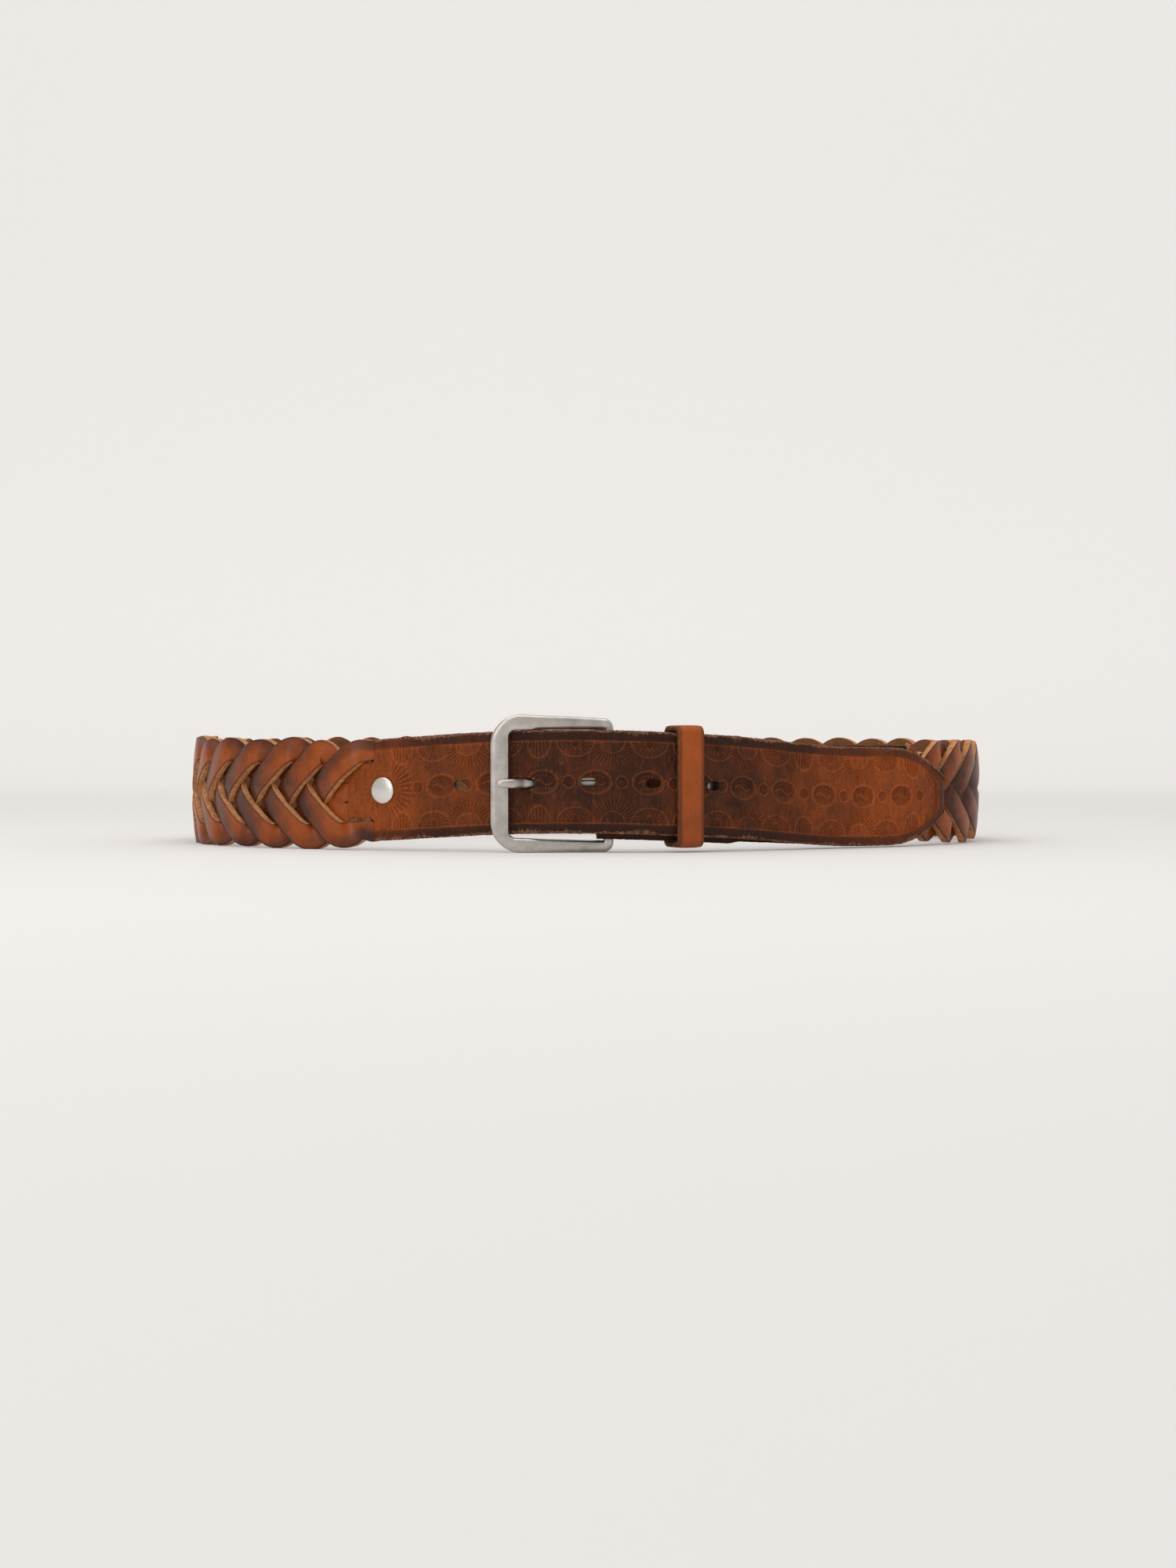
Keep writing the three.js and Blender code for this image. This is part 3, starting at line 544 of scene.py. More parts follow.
TIP_TONE = [(-95, 1.0), (-68, 0.85), (-50, 0.42), (-36, 0.5), (-22, 0.22), (-5, 0.08), (20, 0.02),
            (70, 0.12), (98, 0.3), (120, 0.62), (145, 0.95), (183, 0.8)]
s_rows = np.r_[np.linspace(INNER_SLIT, OUTER_SLIT - 0.02, 36),
               np.arange(OUTER_SLIT, TIP_END - END_ROUND, 0.34),
               TIP_END - END_ROUND * np.linspace(1, 0, 12) ** 1.6]
tip_strap = strap_mesh("tip_strap_leather", s_rows, tip_half(s_rows),
                       tip_middle_at(s_rows), tip_n(s_rows),
                       TIP_THICK, 125, OUTER_SLIT + 6, TIP_END - 3, rivet=TIP_RIVET,
                       tone=TIP_TONE, tip=TIP_END)
print("tip strap points:", len(tip_strap.data.vertices))

# %% [markdown]
# ## The prong
#
# A bent rod: a hook closed round the heel bar, a straight run under the tip strap, a rise
# through the hole, and a tip that rests on the front bar. Its middle line is a smooth curve
# through a few points, and the section is an oval that narrows to a rounded end.

# %% The prong's line, in distances from the heel bar
heel_point, heel_tangent, heel_normal = (v.copy() for v in plan_at(HEEL_AT))
heel_point = heel_point + heel_normal * HEEL_N


from_heel = local_frame(heel_point, -heel_tangent, heel_normal)


def to_heel(point):
    """How far a point is from the heel bar's axis, toward the front bar and outward."""
    d = point[..., :2] - heel_point
    return -(d @ heel_tangent), d @ heel_normal


tilt = math.acos(float(np.clip(plan_at(FRONT_AT)[1] @ heel_tangent, -1, 1)))
FRONT_N = -2.5 + TIP_THICK / 2 + 0.35 + FRONT_W / 2 * math.tan(tilt) + BAR_THICK / 2
PRONG_T, PRONG_W = 2.2, 3.7
front_u, front_v = (float(a) for a in to_heel(place(FRONT_AT, FRONT_N, 0)))
rest_v = float(to_heel(place(FRONT_AT, FRONT_N + BAR_THICK / 2 + GAP + PRONG_T / 2, 0))[1])
PRONG_R = HEEL_R + HEEL_CLEAR + PRONG_T / 2


def prong_line():
    turn = np.radians(235) * (1 - np.arange(40) / 40)
    hook = np.stack([-PRONG_R * np.sin(turn), PRONG_R * np.cos(turn)], 1)
    bend = front_u - FRONT_W / 2
    rise = np.array([
        [0, PRONG_R], [9, PRONG_R], [bend - 11.5, PRONG_R + 0.1],
        [bend - 5.8, PRONG_R + (rest_v - PRONG_R) * 0.32], [bend - 1.2, rest_v - 0.25],
        [bend + 2, rest_v + 0.1], [front_u + 1.5, rest_v + 0.05]])
    knots = np.r_[0, np.cumsum(np.linalg.norm(np.diff(rise, axis=0), axis=1) ** 0.5)]
    fine = np.linspace(0, knots[-1], 400)
    slopes = np.gradient(rise, knots, axis=0)
    i = np.clip(np.searchsorted(knots, fine, side="right") - 1, 0, len(knots) - 2)
    h = knots[i + 1] - knots[i]
    t = ((fine - knots[i]) / h)[:, None]
    curve = hermite(t, rise[i], rise[i + 1], h[:, None] * slopes[i], h[:, None] * slopes[i + 1])
    run = run_along(curve)
    keep = np.linspace(0, run[-1], 90)
    return np.vstack([hook, np.stack([np.interp(keep, run, curve[:, k]) for k in range(2)], 1)])


def prong_mesh(name, grow=0.0, degrees=0.0, sides=24):
    """The prong, or the room that it needs, turned outward about the heel bar."""
    path = prong_line()
    step = unit(np.gradient(path, axis=0))
    side = np.stack([-step[:, 1], step[:, 0]], 1)
    run = run_along(path)
    left = run[-1] - run
    round_end = np.sqrt(np.clip(1 - (1 - np.clip(left / 2.4, 0, 1)) ** 2, 0.02, 1))
    tip = round_end if grow == 0 else 1 + 0 * left
    wide = (PRONG_W / 2 - 0.7 * np.clip(1 - left / 7, 0, 1) ** 1.5) * tip + grow
    thick = PRONG_T / 2 * tip + grow
    c, d = squared_circle(turn_of(sides), 0.72 if grow == 0 else 0.4)
    uv = path[:, None, :] + side[:, None, :] * (thick[:, None] * c[None, :])[..., None]
    if grow:
        uv[-1] += step[-1] * grow
    t = math.radians(degrees)
    u = uv[..., 0] * math.cos(t) - uv[..., 1] * math.sin(t)
    v = uv[..., 0] * math.sin(t) + uv[..., 1] * math.cos(t)
    return loft(name, from_heel(u, v, BUCKLE_MID + wide[:, None] * d[None, :]))


prong = prong_mesh("prong_rod")
print("prong length along its line, mm:", round(float(run_along(prong_line())[-1]), 1))

# %% [markdown]
# ## Punched holes
#
# The holes are oval punches, so they go through: light shows in the empty ones, and the prong
# and a rivet's head show in others. The hole in use is pulled open by the prong, which lifts
# the leather round it, so the prong's own path is cut as well. A boolean does this cleanly.

# %% Punch the holes
HOLES, PRONG_HOLE = [62.0 - 25.0 * k for k in range(5)], -13


def oval_cutter(s, n, z, length, height):
    """A straight oval punch through the leather at s, n and z."""
    along, up = squared_circle(turn_of(40), 0.8)
    to_space = local_frame(*plan_at(s))
    return loft("cutter", [to_space(length / 2 * along, n + depth, z + height / 2 * up)
                           for depth in (-6, 6)])


cutters = [oval_cutter(h, float(tip_n(h)), float(tip_middle_at(h)), 5.5, 3.7)
           for h in HOLES if h != PRONG_HOLE]
cutters += [oval_cutter(s, 0, float(middle_at(s)) + z, 1.6, 1.5)
            for s, z in ((-77.3, 12.2), (-77.3, -12.2), (-89.6, 4.1), (-89.6, -4.1))]
cutters += [prong_mesh("cutter", 0.3, turn, 12) for turn in (0, 1.3, 2.7, 4)]
carve(tip_strap, cutters)
print("tip strap after punching:", len(tip_strap.data.polygons), "faces")

# %% [markdown]
# ## The buckle strap
#
# The second strap lies under the first. It is thinner, folds round the heel bar with a slot for
# the prong, and comes back on the wearer's side, where a rivet holds the fold shut. Its line is
# drawn in the plane of s and n, and the same section is carried along it.

# %% Buckle strap
FLAP_END, FLAP_MEET = 73.0, 33.0


def fold_line():
    outer = np.arange(BUCKLE_STRAP_END, HEEL_AT, -0.6)
    ply = keyed([(FLAP_END + 10, PLY_N), (BUCKLE_STRAP_END - 10, BRAID_IN + 0.5)], outer)
    a = np.linspace(0, np.pi, 26, endpoint=False)
    bend = np.stack([HEEL_AT - FOLD_R * np.sin(a), HEEL_N + FOLD_R * np.cos(a)], 1)
    meet = np.linspace(HEEL_AT, FLAP_MEET, 24, endpoint=False)
    close = keyed([(HEEL_AT, HEEL_N - FOLD_R), (FLAP_MEET, FLAP_N)], meet)
    flap = np.arange(FLAP_MEET, FLAP_END, 0.8)
    return np.vstack([np.stack([outer, ply], 1), bend, np.stack([meet, close], 1),
                      np.stack([flap, np.full_like(flap, FLAP_N)], 1)])


def buckle_middle_at(s):
    return middle_at(s) - 0.9


fold = fold_line()
step = unit(np.gradient(fold, axis=0))
across, out, cut, flesh = strap_section(STRAP, PLY, 61)
s2 = fold[:, :1] + step[:, 1:] * out[None, :]
n2 = fold[:, 1:] - step[:, :1] * out[None, :]
edge_in = STRAP / 2 - np.abs(across)[None, :] + 0 * s2
front = ((cut == 0) & (flesh == 0)).astype(float)[None, :]
outer_ply = (np.arange(len(fold)) < np.argmin(np.abs(fold[:, 0] - HEEL_AT - 4)))[:, None]
ridge, sunk, score = (f * front for f in tooling(s2, across[None, :] + 0 * s2, edge_in, 26, 160))
ridge, sunk = ridge * outer_ply, sunk * outer_ply
worn_edge = 0.45 * np.clip(1 - edge_in / 3, 0, 1) ** 2 * front
press = 0.12 * ridge - 0.25 * sunk - 0.22 * score - worn_edge
s2, n2 = s2 + step[:, 1:] * press, n2 - step[:, :1] * press
fray = cut * 0.18 * wander(s2, out * 40, 0.7, 8)
lower = np.where(across < 0, 1.0, 0.0) * np.clip((77 - s2) / 5, 0, 1)
z2 = buckle_middle_at(s2) + across[None, :] * (1 + 0.05 * lower) + np.sign(across) * fray
buckle_strap = loft("buckle_strap_leather", place(s2, n2, z2), fields=leather_fields(
    cut, flesh, np.clip((5.0 - edge_in) / 2.4, 0, 1), 0.2, ridge, sunk, score))


FOLD_RIVET, POST_HOLE = 62.0, 3.6
fold_z = float(buckle_middle_at(FOLD_RIVET))
s_side, n_side = np.array([(-8, -9), (6, -9), (6, 9), (-8, 9)]).T
slot_half = (PRONG_W + 1.3) / 2
slot = loft("cutter", [place(HEEL_AT + s_side, HEEL_N + n_side, BUCKLE_MID + side * slot_half)
                       for side in (-1, 1)])
post = oval_cutter(FOLD_RIVET, PLY_N, fold_z, POST_HOLE, POST_HOLE)
recess = oval_cutter(FOLD_RIVET, PLY_N + PLY / 2 + 5.1, fold_z, 8, 8)
carve(buckle_strap, [slot, post, recess])
print("buckle strap faces:", len(buckle_strap.data.polygons))

# %% [markdown]
# ## The braid
#
# Each strand swings from edge to edge in a cosine and passes over two others on its way to the
# middle, then under two on its way out. The five are the same wave, a fifth of a turn apart.
# The strands are ribbons with rounded shoulders and thick raw edges. Simulating the weave would
# be slow and gain little: two formulas, for height and for depth, already keep them apart, and
# a slow wander makes the hand work uneven.

# %% Braid strands
WAVE_START, PITCHES = LENGTH - 85.0, 38
WAVE_LENGTH = WAVE_START - BUCKLE_STRAP_END
PITCH = WAVE_LENGTH / PITCHES
STRAND_W, STRAND_T = 10.0, 3.0
FLAT_Z, OUTER_TWO = [16.15, 0.0, -16.15, -8.1, 8.1], (0, 2)
LAYER, SHARPNESS = 1.72, 2.2


def phase_of(k, d):
    return np.pi / 10 + 2 * np.pi * k / 5 + 2 * np.pi * d / (5 * PITCH)


def first_of(k):
    """Where strand k leaves the panel: the outer two are slit further in."""
    return -7.5 if k in OUTER_TWO else 5.0


def loosened(d):
    """The braid slackens toward its end at the buckle strap."""
    return np.clip((d - WAVE_LENGTH + 150) / 60, 0, 1)


def strand_path(k, d):
    """s, n and z of strand k at distance d from the start of the wave."""
    inner = np.minimum(d + 7.5, WAVE_LENGTH - d)
    loose = np.clip(inner / 60, 0, 1)
    phase = phase_of(k, d) + 0.1 * wander(d, 7 * k, 37, 11) * loose
    # across the width: flat in the strap at both ends, a cosine between
    join = np.clip((d - first_of(k)) / (9 if k in OUTER_TWO else 13), 0, 1)
    join = join * np.clip((WAVE_LENGTH - d) / 13, 0, 1)
    join = join * join * (3 - 2 * join)
    swing = keyed([(0, 16.3), (30, (BRAID_H - STRAND_W) / 2)], inner)
    swing = swing + (0.9 * wander(d, 9 * k, 23, 12) + 0.3) * loose
    straight = np.arcsin(0.92 * np.cos(phase)) / np.arcsin(0.92)
    z = FLAT_Z[k] + (swing * straight - FLAT_Z[k]) * join
    # in depth: over two strands, then under two
    wave = np.tanh(SHARPNESS * np.sin(2 * phase)) / np.tanh(SHARPNESS)
    n = (LAYER + 0.35 * loosened(d)) * wave * join + 0.16 * wander(d, 5 * k, 17, 13) * join
    if k in OUTER_TWO:
        n = n + 1.7 * np.exp(-(((d - 7) / 8) ** 2))
    s = WAVE_START - d
    inset = keyed([(25, BRAID_IN), (WAVE_LENGTH - 80, 0)], s - BUCKLE_STRAP_END)
    return s, n + inset, middle_at(s) + z


def strand_mesh(k):
    """One strand, rolled a little at the edges of the braid, with painted shade where it dips under the others
    and painted light where it lies on top.
    """
    begin = first_of(k)
    d = np.arange(begin - 1.2, WAVE_LENGTH, 0.6)
    s, n, z = strand_path(k, d)
    ds, dz = np.gradient(s), np.gradient(z)
    size = np.hypot(ds, dz)
    across, out, cut, flesh = strap_section(STRAND_W, STRAND_T, 15, 5, crown=0.28)
    near = np.clip((d - begin) / 10, 0, 1)
    wide = (7.75 + (STRAND_W - 7.75) * near) / STRAND_W
    loosen = loosened(d)
    wide = wide * (1 + 0.08 * wander(d, 3 * k, 19, 14) * near - 0.16 * loosen)
    phase = phase_of(k, d)
    roll = 0.22 * np.sin(phase) * near
    a = across[None, :] * wide[:, None]
    a = a + np.sign(across) * cut * 0.09 * wander(d[:, None], out * 60, 0.7, 25 + k)
    as_strap = TIP_THICK / STRAND_T
    o = out[None, :] * (as_strap + (1 - as_strap) * near + 0.14 * loosen)[:, None]
    o = o - (d < begin)[:, None] * 0.12 * np.sign(out)
    o = o + (flesh < 0.5) * (cut < 0.5) * 0.07 * wander(d[:, None], across * 1.0, 4, 35 + k)
    lean = a * np.cos(roll)[:, None] - o * np.sin(roll)[:, None]
    rise = a * np.sin(roll)[:, None] + o * np.cos(roll)[:, None]
    start = np.clip((d - begin) / 3, 0, 1)[:, None]
    s2 = s[:, None] - (dz / size)[:, None] * lean * start
    z2 = z[:, None] + ((ds / size)[:, None] * start - (1 - start)) * lean
    side = np.where(np.cos(phase)[:, None] > 0, across[None, :], -across[None, :]) / (STRAND_W / 2)
    lap = np.mod(phase, np.pi) / np.pi
    # Painted light and shade: the colour is lighter where the strand lies on top near the braid's edges, and
    # darker where it crosses the middle and passes under the others.
    bright = keyed([(0, 0.75), (0.12, 0.95), (0.26, 0.6), (0.5, 0.12), (0.8, 0.2), (1, 0.75)], lap)
    tone = bright[:, None] + 0.38 * side + 0.3 * wander(d, 4 * k, 26, 41)[:, None]
    tone = tone - 0.16 * (np.clip((d - 30) / 30, 0, 1) - loosen)[:, None]
    if k not in OUTER_TWO:
        tone = tone + 1.2 * np.clip(1 - (d - begin) / 14, 0, 1)[:, None]
    rim = 0.85 * np.clip((np.abs(side) - 0.7) / 0.3, 0, 1) * near[:, None]
    if k in OUTER_TWO:
        band = np.clip((-side * 3.9 - 3.9 + 5.0) / 2.4, 0, 1)
        rim = np.maximum(rim, band * np.clip(1 - (d - begin) / 30, 0, 1)[:, None])
    fields = leather_fields(cut, flesh, rim * (flesh < 0.5), np.clip(tone, 0, 1))
    return loft(f"strand_leather_{k + 1}", place(s2, n[:, None] + rise, z2), fields=fields)


strands = [strand_mesh(k) for k in range(5)]
print("braid pitch, mm:", round(PITCH, 2), "strand faces:", len(strands[0].data.polygons))

# %% [markdown]
# ## The buckle frame
#
# The frame is one casting: a broad front bar, two side bars that bend back past the strap's
# edges, and a round heel bar. It is a ring, so the section is carried round two matching
# outlines, the outside and the window, and joined end to start. A subdivision cage would round
# the corners too much.

# %% Buckle frame
def buckle_outline():
    """Matching points of the outside and of the window, as (u, z) pairs, front bar first."""
    half_h, half_in = FRAME_OPENING / 2 + SIDE_H, FRAME_OPENING / 2
    out_front, in_front = front_u + FRONT_W / 2, front_u - FRONT_W / 2
    big, small, heel = 12.0, 2.6, 4.0
    pairs = [(out_front, f * (half_h - big), in_front, f * (half_in - small))
             for f in np.linspace(0, 1, 14, endpoint=False)]
    for a in np.linspace(0, np.pi / 2, 22):
        pairs.append((out_front - big + big * np.cos(a), half_h - big + big * np.sin(a),
                      in_front - small + small * np.cos(a), half_in - small + small * np.sin(a)))
    start_o, _, start_w, _ = pairs[-1]
    for f in np.linspace(0, 1, 26)[1:-1]:
        pairs.append((start_o + (-HEEL_R + heel - start_o) * f, half_h,
                      start_w + (HEEL_R - start_w) * f, half_in + (SIDE_H - SIDE_H_HEEL) * f))
    top = half_in + SIDE_H - SIDE_H_HEEL
    for a in np.linspace(np.pi / 2, np.pi, 10):
        pairs.append((-HEEL_R + heel + heel * np.cos(a), half_h - heel + heel * np.sin(a),
                      HEEL_R, top - 0.1 * (a - np.pi / 2)))
    pairs += [(-HEEL_R, top * f, HEEL_R, top * f) for f in np.linspace(0.85, 0, 8)]
    upper = np.array(pairs)
    lower = upper[-2:0:-1] * [1, -1, 1, -1]
    taper_out, taper_in = (np.clip((front_u - 8 - upper[:, k]) / (front_u - 8), 0, 1)
                           for k in (0, 2))
    upper[:, 1] -= 1.5 * (taper_out * np.clip(upper[:, 1] / 20, 0, 1))
    upper[:, 3] -= (0.45 + 1.2 * taper_in) * (upper[:, 3] > 10)
    ring = np.vstack([upper, lower])
    return ring[:, :2], ring[:, 2:]


outer, window = buckle_outline()
mid, span = (outer + window) / 2, (outer - window) / 2
heelness = np.clip(1 - (mid[:, 0] - 2) / 10, 0, 1)
on_heel = (np.abs(window[:, 1]) < FRAME_OPENING / 2 - 0.5) & (mid[:, 0] < 4)
power = np.where(on_heel, 1.0, 0.62)[:, None]
c, d = squared_circle(turn_of(28) + np.pi / 28, power)
thick = BAR_THICK + (2 * HEEL_R - BAR_THICK) * heelness
u = mid[:, :1] + span[:, :1] * c
z = mid[:, 1:] + span[:, 1:] * c
bend = np.clip((u - HEEL_R - 1) / (front_u - HEEL_R - 1), 0, 1)
v = front_v * np.sin(np.pi / 2 * bend) ** 1.1 + thick[:, None] / 2 * d
buckle = loft("buckle_casting", from_heel(u, v, BUCKLE_MID + z), closed=True)
print("buckle height, mm:", round(float(np.ptp(z)), 1), "width:", round(float(np.ptp(u)), 1))

# %% [markdown]
# ## The keeper
#
# A plain band of smooth leather round both straps, closed by a staple on the wearer's side. The
# ring is the same idea as the buckle's, with a flatter section and softened edges.

# %% Keeper and staple
KEEPER_AT, KEEPER_W, KEEPER_T = 51.0, 11.0, 2.3
keep_point, keep_tangent, keep_normal = plan_at(KEEPER_AT)
keep_out = TIP_THICK / 2 + 0.55
keep_in = FLAP_N - PLY / 2 - 0.55
keep_top = float(middle_at(KEEPER_AT)) + STRAP / 2 + 1.1
keep_low = float(buckle_middle_at(KEEPER_AT)) - STRAP / 2 - 1.1
from_keeper = local_frame(keep_point, keep_tangent, keep_normal)


def rounded_box_line(n_low, n_high, z_low, z_high, r):
    """Points of a rounded rectangle and the outward direction at each."""
    points, ways = [], []
    corners = [(n_high - r, z_high - r, 0), (n_low + r, z_high - r, 1),
               (n_low + r, z_low + r, 2), (n_high - r, z_low + r, 3)]
    for i, (cn, cz, q) in enumerate(corners):
        for a in np.linspace(q * np.pi / 2, (q + 1) * np.pi / 2, 9):
            points.append((cn, cz))
            ways.append((np.cos(a), np.sin(a)))
        nn, nz, _ = corners[(i + 1) % 4]
        for f in np.linspace(0, 1, 22 if i % 2 else 8)[1:-1]:
            points.append((cn + (nn - cn) * f, cz + (nz - cz) * f))
            ways.append(ways[-1])
    return np.array(points), np.array(ways)


points, ways = rounded_box_line(keep_in, keep_out, keep_low, keep_top, 1.4)
side_edge = [(0.985, KEEPER_T - 0.55, 0.5, 0), (1, KEEPER_T * 0.5, 1, 0), (0.98, 0.25, 1, 0.4)]
profile = [(x * 0.95, KEEPER_T - 0.3 * x**4, 0, 0) for x in np.linspace(-1, 1, 25)] + side_edge
profile += [(x, 0, 0, 1) for x in np.linspace(0.93, -0.93, 7)] + mirrored(side_edge)
px, out, cut, flesh = np.array(profile).T
turn = np.arange(len(points))[:, None]
reach = 1.4 + out[None, :] + 0.05 * wander(turn, px * 4, 6, 51)
n = points[:, :1] + ways[:, :1] * reach
z = points[:, 1:] + ways[:, 1:] * reach
rim = np.clip((np.abs(px) - 0.68) / 0.16, 0, 1) * (flesh < 0.5)
# Painted light from above: the keeper's colour is lighter toward its top.
tone = 0.55 + 0.4 * np.clip((z - keep_low) / (keep_top - keep_low), 0, 1)
along = KEEPER_W / 2 * px[None, :] + 0.12 * wander(turn, 0, 9, 52)
keeper = loft("keeper_leather", from_keeper(along, n, z), closed=True,
              fields=leather_fields(cut, flesh, rim, tone))

wire = 0.8
crown_n = keep_in - KEEPER_T - GAP - wire / 2
half = (6.0 - wire) / 2
a = np.linspace(0, np.pi / 2, 6)
path = [(keep_in - 0.3, -half)]
path += [(crown_n + 0.5 - 0.5 * np.sin(x), -half + 0.5 - 0.5 * np.cos(x)) for x in a]
path = np.array(path + [(n_at, -z_at) for n_at, z_at in path[::-1]])
step = unit(np.gradient(path, axis=0))
b = turn_of(12)
staple_mid = (keep_top + keep_low) / 2
staple = loft("staple_wire", from_keeper(
    wire / 2 * np.sin(b)[None, :] + 0 * path[:, :1],
    path[:, :1] + step[:, 1:] * wire / 2 * np.cos(b)[None, :],
    staple_mid + path[:, 1:] - step[:, :1] * wire / 2 * np.cos(b)[None, :]))
for side in (-1, 1):
    rows = [from_keeper(0.6 * np.cos(b), q, staple_mid + side * half + 0.6 * np.sin(b))
            for q in (keep_in - KEEPER_T - 1, keep_in + 1)]
    carve(keeper, [loft("cutter", rows)])
print("keeper height, mm:", round(keep_top - keep_low + 2 * KEEPER_T, 1))

# %% [markdown]
# ## Rivets
#
# Two-part rivets: a domed or flat cap with a post, and a burr pressed on from behind. Each is
# turned on a lathe in effect: a profile of radius and height, swept round the rivet's axis.

# %% Rivets
def turned(name, profile, s, z, ring=False):
    """A profile of (radius, height) swept round an axis that stands on the strap at s and z."""
    a = turn_of(64)[:, None]
    r, h = np.array(profile, float).T[:, None, :]
    rows = local_frame(*plan_at(s))(r * np.cos(a), h, z + r * np.sin(a))
    return loft(name, rows, closed=True, weld=not ring)


tip_rivet_z = float(middle_at(TIP_RIVET))
face = TIP_THICK / 2 + GAP
back = -face
dome = [(5.2 * math.cos(x), face + 0.45 + 1.05 * math.sin(x))
        for x in np.linspace(0.1, np.pi / 2, 14)]
dome[-1] = (0, dome[-1][1])
post_and_rim = [(0, back - 1.0), (1.3, back - 1.0), (1.5, back - 0.8), (1.5, face - 0.15),
                (4.9, face - 0.15), (5.15, face), (5.2, face + 0.25)]
tip_cap = turned("tip_rivet_dome", post_and_rim + dome, TIP_RIVET, tip_rivet_z)


def burr(name, face, s, z):
    profile = [(1.8, face - 0.9), (2.1, face - 1.0), (3.3, face - 1.0), (3.55, face - 0.85),
               (3.6, face - 0.5), (3.5, face), (1.8, face)]
    return turned(name, profile, s, z, ring=True)


tip_burr = burr("tip_rivet_washer", back, TIP_RIVET, tip_rivet_z)
top = PLY_N + PLY / 2 - GAP
fold_face = FLAP_N - PLY / 2 - GAP
post_and_head = [(0, fold_face - 1.0), (1.5, fold_face - 1.0), (1.5, top - 0.6), (3.6, top - 0.6),
                 (3.7, top - 0.4), (3.55, top - 0.1), (3.1, top), (0, top)]
fold_cap = turned("fold_rivet_head", post_and_head, FOLD_RIVET, fold_z)
fold_burr = burr("fold_rivet_washer", fold_face, FOLD_RIVET, fold_z)
carve(tip_strap, [oval_cutter(TIP_RIVET, 0, tip_rivet_z, POST_HOLE, POST_HOLE)])
print("rivets:", tip_cap.name, tip_burr.name, fold_cap.name, fold_burr.name)

# %% [markdown]
# ## Shared effects for the materials
#
# Grain and fibre show on several leathers, so each is a node group, built once and placed
# in each material with its own numbers. A group gives only colours, masks and heights; the
# shader stays in the material.

# %% Node helpers
def new_group(name, inputs, outputs):
    group = bpy.data.node_groups.new(name, "ShaderNodeTree")
    for label, kind, value in inputs:
        socket = group.interface.new_socket(label, in_out="INPUT", socket_type="NodeSocket" + kind)
        socket.default_value = value
    for label, kind in outputs:
        group.interface.new_socket(label, in_out="OUTPUT", socket_type="NodeSocket" + kind)
    group.nodes.new("NodeGroupInput").name = "in"
    group.nodes.new("NodeGroupOutput").name = "out"
    return group


class Net:
    """Short words for adding and joining nodes in one tree."""

    def __init__(self, tree):
        self.tree = tree

    def add(self, kind, **settings):
        node = self.tree.nodes.new("ShaderNode" + kind)
        for key, value in settings.items():
            setattr(node, key, value)
        return node

    def join(self, source, target):
        if isinstance(source, (int, float, tuple)):
            target.default_value = source
        else:
            self.tree.links.new(source, target)

    def feed(self, node, sources):
        """Joins or sets several inputs, and returns the node's first output."""
        for label, source in sources.items():
            self.join(source, node.inputs[label])
        return node.outputs[0] if node.outputs else None

    def stretched(self, scale):
        return self.feed(self.add("Mapping"), {"Scale": scale, "Vector": self.where()})

    def where(self):
        return self.add("TexCoord").outputs["Object"]

    def bump(self, height, strength, distance):
        sources = {"Strength": strength, "Distance": distance, "Height": height}
        return self.feed(self.add("Bump"), sources)

    def math(self, operation, a, b=0.0, clamp=False):
        node = self.add("Math", operation=operation, use_clamp=clamp)
        self.join(a, node.inputs[0])
        self.join(b, node.inputs[1])
        return node.outputs[0]

    def times(self, a, b, clamp=False):
        return self.math("MULTIPLY", a, b, clamp)

    def plus(self, a, b, clamp=False):
        return self.math("ADD", a, b, clamp)

    def mix(self, factor, a, b, blend="MIX"):
        node = self.add("Mix", data_type="RGBA", blend_type=blend)
        for value, index in ((factor, 0), (a, 6), (b, 7)):
            self.join(value, node.inputs[index])
        return node.outputs[2]

    def noise(self, where, scale, detail=2.0, rough=0.5):
        sources = {"Detail": detail, "Roughness": rough, "Vector": where, "Scale": scale}
        return self.feed(self.add("TexNoise"), sources)

    def spread(self, value, low, high, to_low=0.0, to_high=1.0):
        node = self.add("MapRange", interpolation_type="SMOOTHSTEP")
        self.join(value, node.inputs[0])
        for index, limit in enumerate((low, high, to_low, to_high), 1):
            self.join(limit, node.inputs[index])
        return node.outputs[0]

    def field(self, name):
        return self.add("Attribute", attribute_name=name).outputs["Fac"]


# %% Leather grain group
grain = new_group(
    "leather_grain",
    [("Scale", "Float", 900.0), ("Creases", "Float", 0.4), ("Streaks", "Float", 0.0)],
    [("Height", "Float"), ("Mottle", "Float"), ("Scuffs", "Float")])
net = Net(grain)
inp, outp = grain.nodes["in"], grain.nodes["out"]
where, scale = net.where(), inp.outputs["Scale"]
cells = net.add("TexVoronoi", feature="DISTANCE_TO_EDGE")
pores = net.spread(net.feed(cells, {"Vector": where, "Scale": scale}), 0.0, 0.25)
fine = net.noise(where, net.times(scale, 2.2), 3)
crease = net.noise(where, net.times(scale, 0.22), 4, 0.65)
tall = net.stretched((1.0, 1.0, 0.2))
streak = net.noise(tall, net.times(scale, 0.8), 5, 0.7)
height = net.plus(net.times(pores, 0.3), net.times(fine, 0.3))
height = net.plus(height, net.times(crease, inp.outputs["Creases"]))
height = net.plus(height, net.times(streak, inp.outputs["Streaks"]))
scuff = net.noise(tall, net.times(scale, 1.1), 4, 0.75)
net.feed(outp, {"Height": height, "Mottle": net.noise(where, net.times(scale, 0.09), 5, 0.6),
                "Scuffs": net.spread(scuff, 0.52, 0.7)})
print("group:", grain.name)

